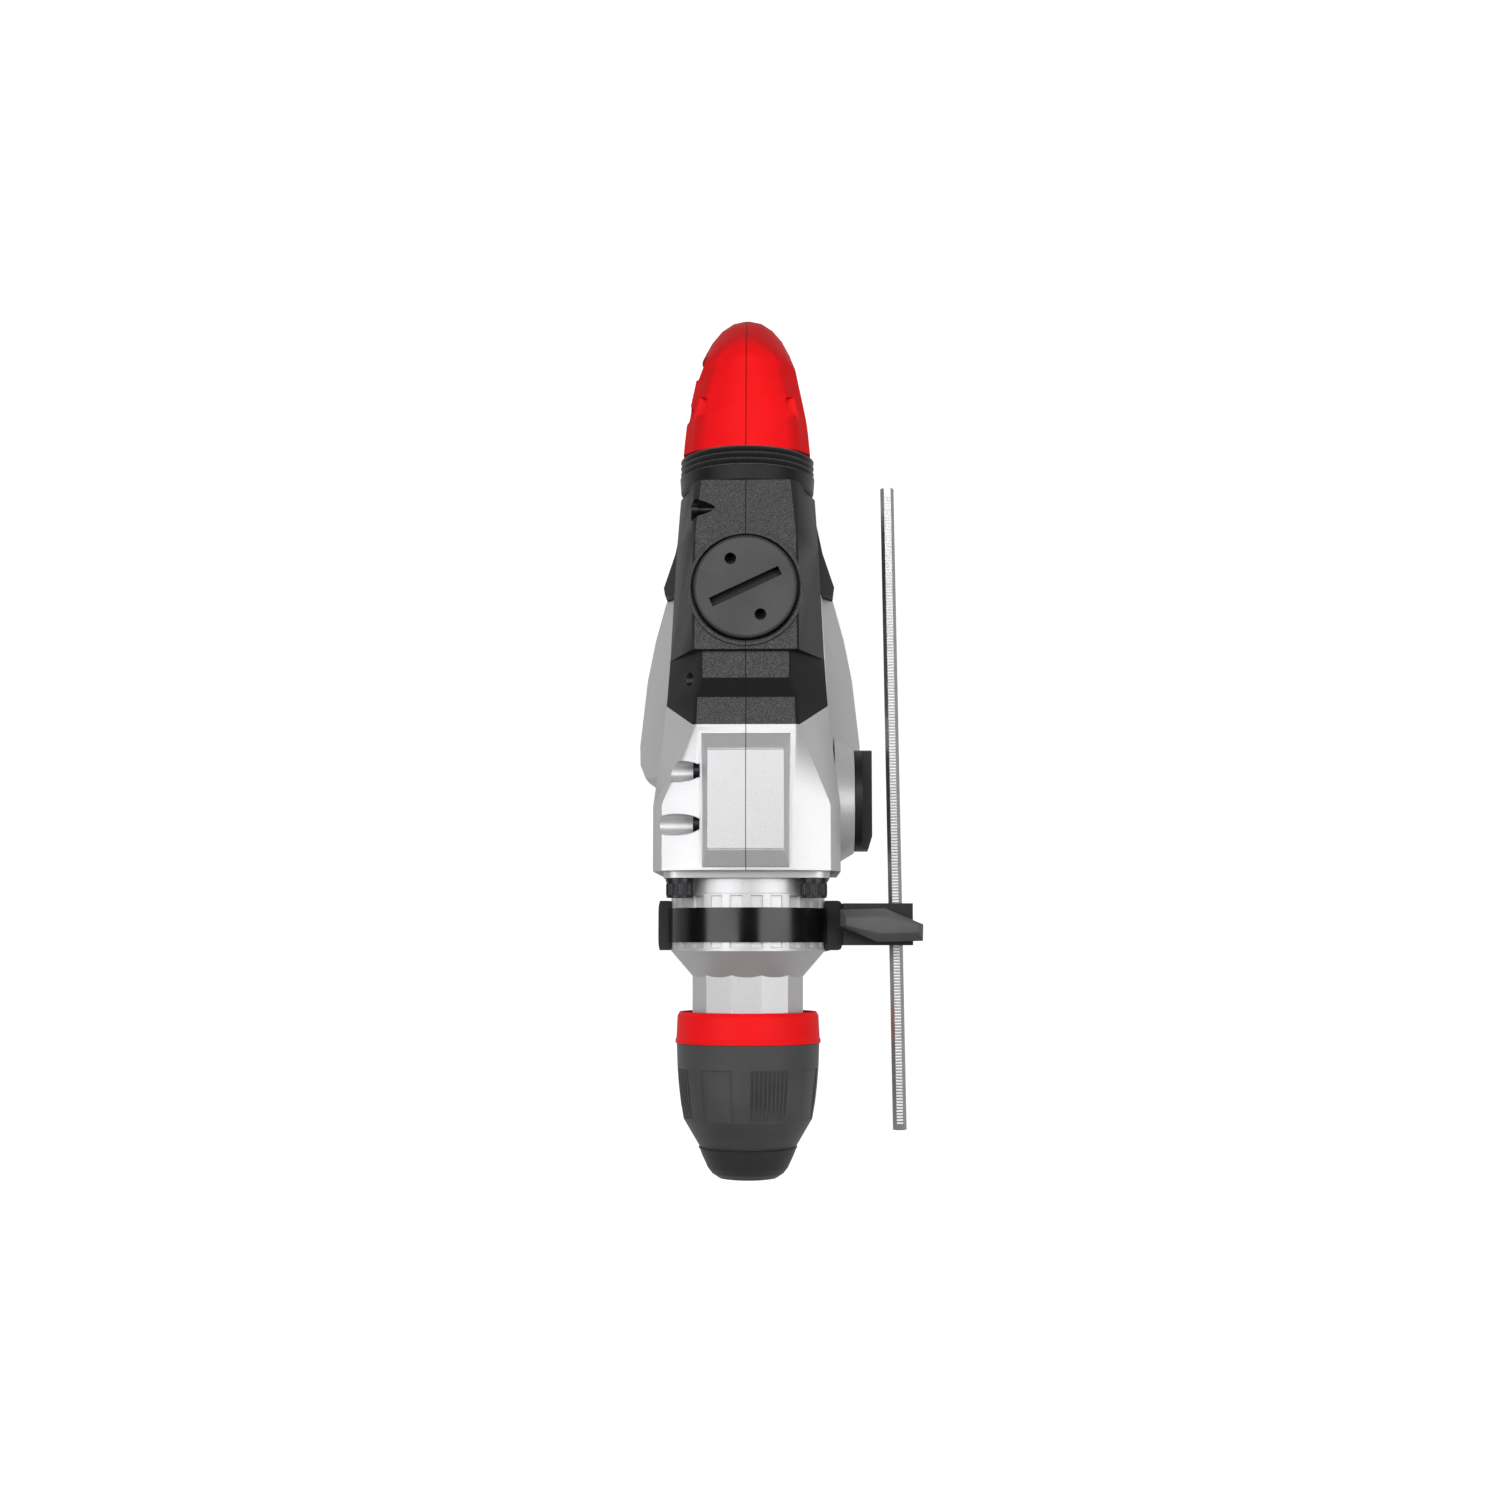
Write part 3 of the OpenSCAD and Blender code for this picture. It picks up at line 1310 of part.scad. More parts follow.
function knob_ring(share, z) = [for (p = knob_plan)
    [bolt_x + p[0] * share[0], strap_y + p[1] * share[1], z]];

module depth_rod() {
    color(steel) rod_bar(rod_flats, rod_y0, rod_y0 + rod_length);
}

crankcase();
barrel_housing();
housing_screws();
front_cover_left();
front_cover_right();
top_cover(-1);  // top_cover_left
top_cover(1);  // top_cover_right
crank_cap();
motor_housing();
motor_base();
stator_core();
field_coils();
brush_holders();
carbon_brushes();
armature_bearings();
gear_bearings();
front_bearing();
rear_bearing();
spindle_seal();
tool_holder();
dust_cap();
hammer_tube();
ring_gear();
chuck_sleeve();
sleeve_ring();
lock_ring();
sleeve_spring();
lock_roller(1);  // lock_roller_right
lock_roller(-1);  // lock_roller_left
impact_bolt();
striker();
striker_seal();
piston();
wrist_pin();
connecting_rod();
crank_pin();
crankshaft();
crank_gear();
bevel_shaft();
intermediate_gear();
armature_shaft();
armature_core();
commutator();
fan();
selector_knob();
handle_half(-1);  // handle_left
handle_half(1);  // handle_right
handle_screws();
cord_gland();
switch();
trigger();
handle_pivot_pin();
handle_spring();
bellows();
side_handle();
strap();
clamp_block();
clamp_bolt();
wing_knob();
depth_rod();
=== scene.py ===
import json
import math

import bpy
from mathutils import Matrix, Vector


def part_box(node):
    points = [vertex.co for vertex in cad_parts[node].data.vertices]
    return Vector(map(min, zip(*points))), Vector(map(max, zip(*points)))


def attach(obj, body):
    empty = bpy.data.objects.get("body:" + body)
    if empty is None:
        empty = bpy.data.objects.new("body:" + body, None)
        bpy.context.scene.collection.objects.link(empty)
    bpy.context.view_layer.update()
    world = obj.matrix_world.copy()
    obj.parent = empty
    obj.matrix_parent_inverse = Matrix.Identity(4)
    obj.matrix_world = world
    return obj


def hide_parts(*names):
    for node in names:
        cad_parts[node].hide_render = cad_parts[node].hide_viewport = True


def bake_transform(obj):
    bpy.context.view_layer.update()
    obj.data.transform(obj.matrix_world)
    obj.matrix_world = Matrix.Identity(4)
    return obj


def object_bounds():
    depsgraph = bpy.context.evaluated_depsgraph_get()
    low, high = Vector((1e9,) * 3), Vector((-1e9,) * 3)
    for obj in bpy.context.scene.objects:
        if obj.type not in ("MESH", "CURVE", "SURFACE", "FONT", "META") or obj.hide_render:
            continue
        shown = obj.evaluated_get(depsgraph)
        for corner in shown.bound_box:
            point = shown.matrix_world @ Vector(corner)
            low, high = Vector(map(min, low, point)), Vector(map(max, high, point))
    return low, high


bl_info = {
    "name": "Rotary Hammer",
    "version": (1, 0, 0),
    "blender": (4, 5, 0),
    "location": "View3D > Sidebar > Hammer",
    "description": "Dresses the packed rotary hammer in its finishes and sets its studio",
    "category": "Object",
}

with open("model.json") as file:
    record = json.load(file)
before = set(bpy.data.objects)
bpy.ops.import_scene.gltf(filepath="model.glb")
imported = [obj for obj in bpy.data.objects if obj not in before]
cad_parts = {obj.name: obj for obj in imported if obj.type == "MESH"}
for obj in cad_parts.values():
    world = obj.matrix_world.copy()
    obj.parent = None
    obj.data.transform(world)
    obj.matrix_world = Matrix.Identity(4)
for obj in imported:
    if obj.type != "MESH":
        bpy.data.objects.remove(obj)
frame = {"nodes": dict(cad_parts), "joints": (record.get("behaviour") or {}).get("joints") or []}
CAD_BOX = [list(corner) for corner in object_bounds()]
NODES = frame["nodes"]
MM = 0.001

# Directions that tool marks run in: a small share draws the marks out along that axis
EVEN = (1.0, 1.0, 1.0)
ROUND_SPINDLE = (0.08, 1.0, 0.08)
ROUND_MOTOR = (0.08, 0.08, 1.0)


# Properties


def colour_property(name, description, default):
    return bpy.props.FloatVectorProperty(
        name=name, description=description, default=default, subtype="COLOR", min=0.0, max=1.0
    )


def length_property(name, description, default):
    return bpy.props.FloatProperty(
        name=name, description=description, default=default, unit="LENGTH", precision=5, min=0.0
    )


def place_property(name, description, default):
    return bpy.props.FloatVectorProperty(
        name=name, description=description, default=default, subtype="TRANSLATION", unit="LENGTH"
    )


def light_property(name, description, default, unit="NONE"):
    return bpy.props.FloatProperty(
        name=name, description=description, default=default, unit=unit, min=0.0
    )


class HammerColours(bpy.types.PropertyGroup):
    """Colours of the finishes, as linear light"""

    silver: colour_property("Silver paint", "Front cover", (0.60, 0.60, 0.61))
    casting: colour_property("Casting", "Barrel, crankcase and piston", (0.58, 0.58, 0.59))
    charcoal: colour_property("Textured black", "Rear cover's top and fan", (0.072, 0.072, 0.074))
    # Smooth skin of the rear cover's flanks; its darker colour is painted shade
    shaded_flank: colour_property("Smooth black", "Flanks of the rear cover", (0.018, 0.018, 0.019))
    cap: colour_property("Crank cap", "Grained grey of the crank cap", (0.062, 0.062, 0.064))
    wing: colour_property("Wing knob", "Grained grey of the wing knob", (0.1, 0.1, 0.102))
    red: colour_property("Red plastic", "Rear handle and sleeve's ring", (0.93, 0.008, 0.011))
    sleeve: colour_property("Sleeve rubber", "Chuck sleeve", (0.058, 0.058, 0.060))
    nose: colour_property("Nose rubber", "Dust cap at the nose", (0.028, 0.028, 0.029))
    rubber: colour_property("Black rubber", "Bellows, seals and brushes", (0.014, 0.014, 0.015))
    moulding: colour_property("Black moulding", "Side handle and selector", (0.017, 0.017, 0.018))
    motor: colour_property("Motor moulding", "Motor housing and trigger", (0.03, 0.03, 0.031))
    lacquer: colour_property("Black lacquer", "Strap, and lip of the cap", (0.004, 0.004, 0.004))
    oxide: colour_property("Black oxide", "Screws", (0.024, 0.024, 0.026))
    steel: colour_property("Bright steel", "Ground and machined parts", (0.56, 0.57, 0.58))
    zinc: colour_property("Zinc", "Plating of the depth rod", (0.94, 0.94, 0.93))
    copper: colour_property("Copper", "Windings and commutator", (0.72, 0.30, 0.14))
    bronze: colour_property("Bronze", "Front bush", (0.60, 0.38, 0.15))
    phenolic: colour_property("Phenolic", "Brush holders", (0.17, 0.075, 0.03))
    floor: colour_property("Floor", "Plain pale floor", (0.42, 0.42, 0.42))


class HammerSizes(bpy.types.PropertyGroup):
    """Sizes of the surface detail"""

    fine_grain: length_property("Fine grain", "Grain of painted and smooth faces", 0.35 * MM)
    coarse_grain: length_property("Coarse grain", "Grain of textured mouldings", 0.45 * MM)
    edge_round: length_property("Edge round", "Radius that edges catch the light with", 0.5 * MM)
    crease: bpy.props.FloatProperty(
        name="Crease", description="Angle in degrees above which an edge of a skin stays sharp",
        default=26.0, min=0.0, max=180.0
    )
    seam: length_property("Seam", "Half width of the lines between halves", 0.3 * MM)
    rib_swell: length_property("Rib swell", "Height of the bellows ribs", 2.3 * MM)
    tooth_pitch: length_property("Tooth pitch", "Pitch of the depth rod's teeth", 1.5 * MM)
    tooth_height: length_property("Tooth height", "Height of the depth rod's teeth", 0.4 * MM)
    knurl_height: length_property("Knurl height", "Ridges round the flange screws", 0.22 * MM)


class HammerStage(bpy.types.PropertyGroup):
    """Camera and light of the studio"""

    lens: bpy.props.FloatProperty(
        name="Lens", description="Focal length", default=47.0, min=10.0, max=200.0, unit="CAMERA"
    )
    camera_place: place_property("Camera place", "Where the camera stands", (0.022, 0.118, 1.0))
    camera_aim: place_property("Camera aim", "Point that the camera looks at", (0.001, 0.216, 0.0))
    key_power: light_property("Soft boxes", "Power of each of the two soft boxes", 9.0, "POWER")
    fill_power: light_property("Top light", "Power of the narrow light overhead", 7.0, "POWER")
    floor_glow: light_property("Floor glow", "Brightness of the back-lit floor", 0.82)
    floor_cast: light_property("Floor cast", "Light that the floor casts on the tool", 0.28)
    backdrop: light_property("Backdrop", "Brightness of the backdrop behind the floor", 0.86)
    world_strength: light_property("Room light", "Strength of the light from all round", 0.06)


def colours():
    return bpy.context.scene.hammer_colours


def sizes():
    return bpy.context.scene.hammer_sizes


# Finishes


def shade(colour, share=1.0):
    """Opaque colour with its channels multiplied by share"""
    return (*(min(1.0, channel * share) for channel in colour[:3]), 1.0)


class Finish:
    """A material under construction, with its tree and its shader"""

    # Places of the colour sockets among those of a mix node
    mix_first, mix_second, mix_result = 6, 7, 2
    edge_samples = 4
    seam_tone = 0.2

    def __init__(self, name, colour, roughness, metallic=0.0, specular=0.5):
        self.material = bpy.data.materials.new(name)
        self.material.use_nodes = True
        self.tree = self.material.node_tree
        self.shader = self.tree.nodes["Principled BSDF"]
        self.coords = self.node("ShaderNodeTexCoord").outputs["Object"]
        self.colour = shade(colour)
        self.normal = None
        self.set("Base Color", self.colour)
        self.set("Roughness", roughness)
        self.set("Metallic", metallic)
        self.set("Specular IOR Level", specular)

    def node(self, kind):
        return self.tree.nodes.new(kind)

    def link(self, source, target):
        self.tree.links.new(source, target)

    def feed(self, value, target):
        """Gives a socket a fixed value, or what comes out of another socket"""
        if isinstance(value, bpy.types.NodeSocket):
            self.link(value, target)
        else:
            target.default_value = value

    def set(self, socket, value):
        """Feeds one of the shader's own sockets"""
        self.feed(value, self.shader.inputs[socket])
        return self

    def painted(self):
        """Socket that the base colour comes from so far"""
        return self.shader.inputs["Base Color"].links[0].from_socket

    def axis(self, vector, name):
        """One coordinate of a vector"""
        split = self.node("ShaderNodeSeparateXYZ")
        self.link(vector, split.inputs["Vector"])
        return split.outputs[name]

    def maths(self, operation, *values):
        """Result of an operation on values, each a number or a socket"""
        result = self.node("ShaderNodeMath")
        result.operation = operation
        for value, socket in zip(values, result.inputs):
            self.feed(value, socket)
        return result.outputs["Value"]

    def noise(self, size, detail=3.0, stretch=EVEN):
        """Noise whose grains are about as large as size"""
        scaled = self.node("ShaderNodeMapping")
        scaled.inputs["Scale"].default_value = [factor / size for factor in stretch]
        self.link(self.coords, scaled.inputs["Vector"])
        grain = self.node("ShaderNodeTexNoise")
        grain.inputs["Scale"].default_value = 1.0
        grain.inputs["Detail"].default_value = detail
        self.link(scaled.outputs["Vector"], grain.inputs["Vector"])
        return grain.outputs["Fac"]

    def ranged(self, value, low, high, start=0.3, stop=0.7):
        """Value mapped from start..stop to low..high"""
        mapped = self.node("ShaderNodeMapRange")
        ends = {"From Min": start, "From Max": stop, "To Min": low, "To Max": high}
        for socket, end in ends.items():
            mapped.inputs[socket].default_value = end
        self.link(value, mapped.inputs["Value"])
        return mapped.outputs["Result"]

    def mixed(self, factor, first, second):
        """Colour between first and second, each a colour or a socket"""
        mix = self.node("ShaderNodeMix")
        mix.data_type = "RGBA"
        self.link(factor, mix.inputs["Factor"])
        self.feed(first, mix.inputs[self.mix_first])
        self.feed(second, mix.inputs[self.mix_second])
        return mix.outputs[self.mix_result]

    def tone(self, value, spread):
        """Colour that wavers about the base by spread, as value does"""
        low, high = (shade(self.colour, 1.0 + side * spread) for side in (-1, 1))
        return self.set("Base Color", self.mixed(self.ranged(value, 0.0, 1.0), low, high))

    def rough(self, value, low, high):
        """Roughness that goes from low to high, as value does"""
        return self.set("Roughness", self.ranged(value, low, high))

    def bump(self, value, height, strength=1.0):
        """Relief of the given height, on top of any relief so far"""
        relief = self.node("ShaderNodeBump")
        relief.inputs["Strength"].default_value = strength
        relief.inputs["Distance"].default_value = height
        self.link(value, relief.inputs["Height"])
        if self.normal is not None:
            self.link(self.normal, relief.inputs["Normal"])
        self.normal = relief.outputs["Normal"]
        return self.set("Normal", self.normal)

    def round_edges(self, radius):
        """Edges that catch the light as if rounded by radius"""
        bevel = self.node("ShaderNodeBevel")
        bevel.samples = self.edge_samples
        bevel.inputs["Radius"].default_value = radius
        self.normal = bevel.outputs["Normal"]
        return self.set("Normal", self.normal)

    def seam(self):
        """Dark parting line where two halves meet in the middle plane"""
        side = self.maths("ABSOLUTE", self.axis(self.coords, "X"))
        line = self.ranged(side, 1.0, 0.0, 0.5 * sizes().seam, sizes().seam)
        dark = shade(self.colour, self.seam_tone)
        return self.set("Base Color", self.mixed(line, self.painted(), dark))

    def darken_below(self, top, depths, share):
        """Painted shade in the recesses that lie deeper than depths under top"""
        height = self.axis(self.coords, "Z")
        shaded = self.ranged(height, 1.0, 0.0, top - depths[1], top - depths[0])
        dark = shade(self.colour, share)
        return self.set("Base Color", self.mixed(shaded, self.painted(), dark))

    def up_facing(self, start, stop, facing="True Normal"):
        """0 on steep faces and 1 on faces that look up"""
        normal = self.node("ShaderNodeNewGeometry").outputs[facing]
        return self.ranged(self.axis(normal, "Z"), 0.0, 1.0, start, stop)


def moulding(name, colour, roughness, grain_size, relief, spread=0.12, specular=0.25, edge=None):
    """Moulded plastic with a grained skin"""
    cloud_size, waver = 28 * MM, 0.08
    finish = Finish(name, colour, roughness, specular=specular)
    finish.round_edges(edge or sizes().edge_round)
    skin = finish.noise(grain_size, detail=2.0)
    finish.tone(finish.noise(cloud_size, detail=2.0), spread)
    finish.rough(skin, roughness - waver, roughness + waver)
    return finish.bump(skin, relief)


def smooth_moulding(name, colour, roughness, **look):
    """Moulded plastic with a fine skin"""
    return moulding(name, colour, roughness, sizes().fine_grain, relief=0.02 * MM, **look)


def red_plastic(name):
    """Red moulding of the rear handle and of the sleeve's ring"""
    return smooth_moulding(name, colours().red, roughness=0.5, spread=0.06, specular=0.08)


def rubber(name, colour, roughness=0.62):
    """Soft rubber with a faint sheen"""
    finish = moulding(name, colour, roughness, grain_size=0.5 * MM, relief=0.03 * MM, spread=0.18)
    return finish.set("Sheen Weight", 0.15)


def painted_silver(name, colour, relief):
    """Silver paint with fine flakes"""
    finish = Finish(name, colour, roughness=0.44, metallic=0.5)
    finish.round_edges(sizes().edge_round)
    flake = finish.noise(sizes().fine_grain, detail=1.0)
    finish.tone(flake, spread=0.1)
    finish.rough(flake, low=0.36, high=0.52)
    return finish.bump(flake, relief)


def machined(name, colour, roughness, stretch=EVEN, metallic=1.0):
    """Metal with fine tool marks, which stretch draws out"""
    mark_size, cloud_size, waver = 0.6 * MM, 6 * MM, 0.05
    finish = Finish(name, colour, roughness, metallic=metallic)
    marks = finish.noise(mark_size, detail=4.0, stretch=stretch)
    finish.tone(finish.noise(cloud_size), spread=0.05)
    finish.rough(marks, roughness - waver, roughness + waver)
    return finish.bump(marks, height=0.004 * MM, strength=0.5)


def wear(finish, *node_names):
    """Gives solids of the frame their finish"""
    for node_name in node_names:
        worn = NODES[node_name].data.materials
        worn.clear()
        worn.append(finish.material)


# Skins and meshes


def smooth_skin(*node_names, soft_heights=None):
    """Joins the facets of curved skins and shades them as one surface, with sharp edges kept"""
    group = smooth_skin_group(math.radians(sizes().crease), soft_heights)
    for node_name in node_names:
        NODES[node_name].modifiers.new("smooth_skin", "NODES").node_group = group


def smooth_skin_group(crease, soft_heights):
    """Nodes that keep edges above the crease angle sharp, except between the soft heights"""
    weld_distance = 0.002 * MM
    group = bpy.data.node_groups.new("smooth_skin", "GeometryNodeTree")
    for in_out in ("INPUT", "OUTPUT"):
        group.interface.new_socket("Geometry", in_out=in_out, socket_type="NodeSocketGeometry")
    add, link = group.nodes.new, group.links.new
    weld = add("GeometryNodeMergeByDistance")
    weld.inputs["Distance"].default_value = weld_distance
    plain = add("GeometryNodeRemoveAttribute")
    plain.inputs["Name"].default_value = "custom_normal"
    faces = add("GeometryNodeSetShadeSmooth")
    edges = add("GeometryNodeSetShadeSmooth")
    edges.domain = "EDGE"
    shallow = add("FunctionNodeCompare")
    shallow.operation = "LESS_THAN"
    shallow.inputs["B"].default_value = crease
    link(add("GeometryNodeInputMeshEdgeAngle").outputs["Unsigned Angle"], shallow.inputs["A"])
    smooth = shallow.outputs["Result"]
    if soft_heights:
        low, high = soft_heights
        split = add("ShaderNodeSeparateXYZ")
        link(add("GeometryNodeInputPosition").outputs["Position"], split.inputs["Vector"])
        between = add("ShaderNodeMath")
        between.operation = "COMPARE"
        link(split.outputs["Z"], between.inputs[0])
        between.inputs[1].default_value = (low + high) / 2
        between.inputs[2].default_value = (high - low) / 2
        either = add("FunctionNodeBooleanMath")
        either.operation = "OR"
        link(smooth, either.inputs[0])
        link(between.outputs["Value"], either.inputs[1])
        smooth = either.outputs["Boolean"]
    link(smooth, edges.inputs["Shade Smooth"])
    geometry = add("NodeGroupInput").outputs["Geometry"]
    for node in (weld, plain, faces, edges):
        link(geometry, node.inputs["Geometry"])
        geometry = node.outputs["Geometry"]
    link(geometry, add("NodeGroupOutput").inputs["Geometry"])
    return group


def mesh_piece(name, vertices, faces, finish, slot, smooth_angle=None):
    """A new piece in the frame's own coordinates"""
    mesh = bpy.data.meshes.new(name)
    mesh.from_pydata([tuple(vertex) for vertex in vertices], [], faces)
    mesh.update()
    mesh.validate()
    piece = bpy.data.objects.new(name, mesh)
    bpy.context.scene.collection.objects.link(piece)
    piece.data.materials.append(finish.material)
    if smooth_angle is not None:
        mesh.shade_smooth()
        mesh.set_sharp_from_angle(angle=math.radians(smooth_angle))
    return piece


def turns(count):
    """Angles of count even steps round a circle"""
    return [math.tau * step / count for step in range(count)]


def rings_to_faces(rings, count, closed):
    """Quads over rings of equal count, and back to the first ring where closed"""
    last = rings if closed else rings - 1
    return [
        (
            ring * count + i,
            ring * count + (i + 1) % count,
            (ring + 1) % rings * count + (i + 1) % count,
            (ring + 1) % rings * count + i,
        )
        for ring in range(last)
        for i in range(count)
    ]


def capped_faces(rings, count):
    """Quads over an open row of rings, with a cap at each end"""
    last = (rings - 1) * count
    ends = [tuple(reversed(range(count))), tuple(range(last, last + count))]
    return rings_to_faces(rings, count, closed=False) + ends


def gather(parts):
    """Vertices and faces of several loose meshes as one"""
    vertices, faces = [], []
    for part_vertices, part_faces in parts:
        start = len(vertices)
        vertices += part_vertices
        faces += [tuple(start + i for i in face) for face in part_faces]
    return vertices, faces


# Operators


class HammerOperator:
    """Options that the hammer's operators share"""

    bl_options = {"REGISTER", "UNDO"}


class HAMMER_OT_front_covers(HammerOperator, bpy.types.Operator):
    """Silver front cover halves, with long slopes at both ends of the raised panel"""

    bl_idname = "hammer.front_covers"
    bl_label = "Front Covers"

    wing_slope = (-87 * MM, -71 * MM)
    panel_half = 18.5 * MM
    panel_height = 54 * MM
    # Each end: where its top, its foot and the solid's own foot lie along the tool,
    # then the height and the half width of its foot
    panel_ends = (
        (163 * MM, 153.9 * MM, 157.6 * MM, 49.95 * MM, 21.2 * MM),
        (211 * MM, 219.5 * MM, 216.9 * MM, 49.05 * MM, 21.8 * MM),
    )
    wedge_faces = ((0, 2, 3, 1), (0, 4, 2), (1, 3, 5), (2, 4, 5, 3), (0, 1, 5, 4))

    def slopes(self, finish):
        """Long slopes at the front and the back of the raised panel"""
        sides = (-1, 1)
        parts = []
        for top_y, foot_y, inner_y, foot_z, foot_half in self.panel_ends:
            wedge = [(side * self.panel_half, top_y, self.panel_height) for side in sides]
            wedge += [(side * foot_half, y, foot_z) for y in (foot_y, inner_y) for side in sides]
            front = foot_y < top_y
            parts.append((wedge, [face if front else face[::-1] for face in self.wedge_faces]))
        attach(mesh_piece("panel_slopes", *gather(parts), finish, "silver_cover"), "housing")

    def execute(self, context):
        halves = ("front_cover_left", "front_cover_right")
        finish = painted_silver("silver_paint", colours().silver, relief=0.03 * MM).seam()
        self.slopes(finish)
        wear(finish, *halves)
        smooth_skin(*halves, soft_heights=self.wing_slope)
        return {"FINISHED"}


class HAMMER_OT_barrel(HammerOperator, bpy.types.Operator):
    """Cast and painted barrel, and the crankcase behind it"""

    bl_idname = "hammer.barrel"
    bl_label = "Barrel and Crankcase"

    def execute(self, context):
        casting = colours().casting
        wear(painted_silver("cast_paint", casting, relief=0.04 * MM), "barrel_housing")
        wear(painted_silver("raw_casting", casting, relief=0.08 * MM), "crankcase")
        return {"FINISHED"}


class HAMMER_OT_rear_covers(HammerOperator, bpy.types.Operator):
    """Rear covers with a grained top, and smooth flanks whose darker colour is painted shade"""

    bl_idname = "hammer.rear_covers"
    bl_label = "Rear Covers"

    top_facing = (0.93, 0.98)
    flank_roughness = 0.38
    top_roughness = 0.5
    grain_edges = (0.38, 0.66)
    grain_tones = (0.5, 1.75)
    grain_relief = 0.3 * MM

    def execute(self, context):
        halves = ("top_cover_left", "top_cover_right")
        finish = Finish("rear_cover_skin", colours().charcoal, self.top_roughness, specular=0.08)
        finish.round_edges(sizes().edge_round)
        top = finish.up_facing(*self.top_facing)
        grain = finish.noise(sizes().coarse_grain)
        dark, light = (shade(colours().charcoal, share) for share in self.grain_tones)
        speckled = finish.mixed(finish.ranged(grain, 0.0, 1.0, *self.grain_edges), dark, light)
        # Painted shade: steep flanks take the darker smooth black, faces that look up the grained
        # charcoal
        finish.set("Base Color", finish.mixed(top, shade(colours().shaded_flank), speckled))
        finish.seam()
        finish.rough(top, self.flank_roughness, self.top_roughness)
        finish.bump(finish.maths("MULTIPLY", grain, top), self.grain_relief)
        wear(finish, *halves)
        smooth_skin(*halves)
        return {"FINISHED"}


class HAMMER_OT_crank_cap(HammerOperator, bpy.types.Operator):
    """Grained crank cap with painted shade in its slot and pin holes"""

    bl_idname = "hammer.crank_cap"
    bl_label = "Crank Cap"

    recess_shade_depth = (0.5 * MM, 1.4 * MM)
    recess_shade_tone = 0.12

    def execute(self, context):
        finish = moulding(
            "cap_moulding", colours().cap, roughness=0.46,
            grain_size=0.5 * MM, relief=0.06 * MM, spread=0.2
        )
        # Painted shade: the cap's colour darkens in the slot and pin holes, below the given depths
        # under its top
        finish.darken_below(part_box("crank_cap")[1].z, self.recess_shade_depth, self.recess_shade_tone)
        wear(finish, "crank_cap")
        return {"FINISHED"}


class HAMMER_OT_motor_housing(HammerOperator, bpy.types.Operator):
    """Black mouldings round the motor, with raised bands and air louvres"""

    bl_idname = "hammer.motor_housing"
    bl_label = "Motor Housing"

    motor_y = 253.75 * MM
    motor_radius = 54 * MM
    count = 96
    band_heights = (-163 * MM, -128 * MM)
    # Millimetres out from the wall, and up from the middle
    band_profile = ((-0.4, 1.5), (0.7, 0.9), (0.7, -0.9), (-0.4, -1.5))
    louvre_profile = ((-0.4, -1.8), (1.0, -1.0), (1.4, 0.2), (-0.4, 1.8))
    louvre_heights = (-90 * MM, -80 * MM, -70 * MM, -60 * MM, -50 * MM)
    louvre_path = ((44.2 * MM, 306.5 * MM), (39 * MM, 322 * MM), (35.5 * MM, 338.5 * MM))
    louvre_out = ((0.949, 0.316), (0.966, 0.26), (0.978, 0.206))

    def bands(self, finish):
        """Raised bands round the motor"""
        parts = []
        for height in self.band_heights:
            ring = []
            for turn in turns(self.count):
                for out, up in self.band_profile:
                    radius = self.motor_radius + out * MM
                    place = (radius * math.cos(turn), self.motor_y + radius * math.sin(turn))
                    ring.append((*place, height + up * MM))
            parts.append((ring, rings_to_faces(self.count, len(self.band_profile), closed=True)))
        piece = mesh_piece("motor_bands", *gather(parts), finish, "black_cover", smooth_angle=30)
        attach(piece, "housing")

    def louvres(self, finish):
        """Sloped air louvres on both sides of the block behind the motor"""
        right = capped_faces(len(self.louvre_path), len(self.louvre_profile))
        left = [face[::-1] for face in right]
        parts = []
        for side, faces in ((-1, left), (1, right)):
            for height in self.louvre_heights:
                bar = [
                    (side * (x + out * MM * out_x), y + out * MM * out_y, height + up * MM)
                    for (x, y), (out_x, out_y) in zip(self.louvre_path, self.louvre_out)
                    for out, up in self.louvre_profile
                ]
                parts.append((bar, faces))
        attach(mesh_piece("air_louvres", *gather(parts), finish, "black_cover"), "housing")

    def execute(self, context):
        finish = moulding(
            "motor_moulding", colours().motor, roughness=0.48,
            grain_size=sizes().coarse_grain, relief=0.08 * MM
        )
        wear(finish, "motor_housing", "motor_base")
        self.bands(finish)
        self.louvres(finish)
        return {"FINISHED"}


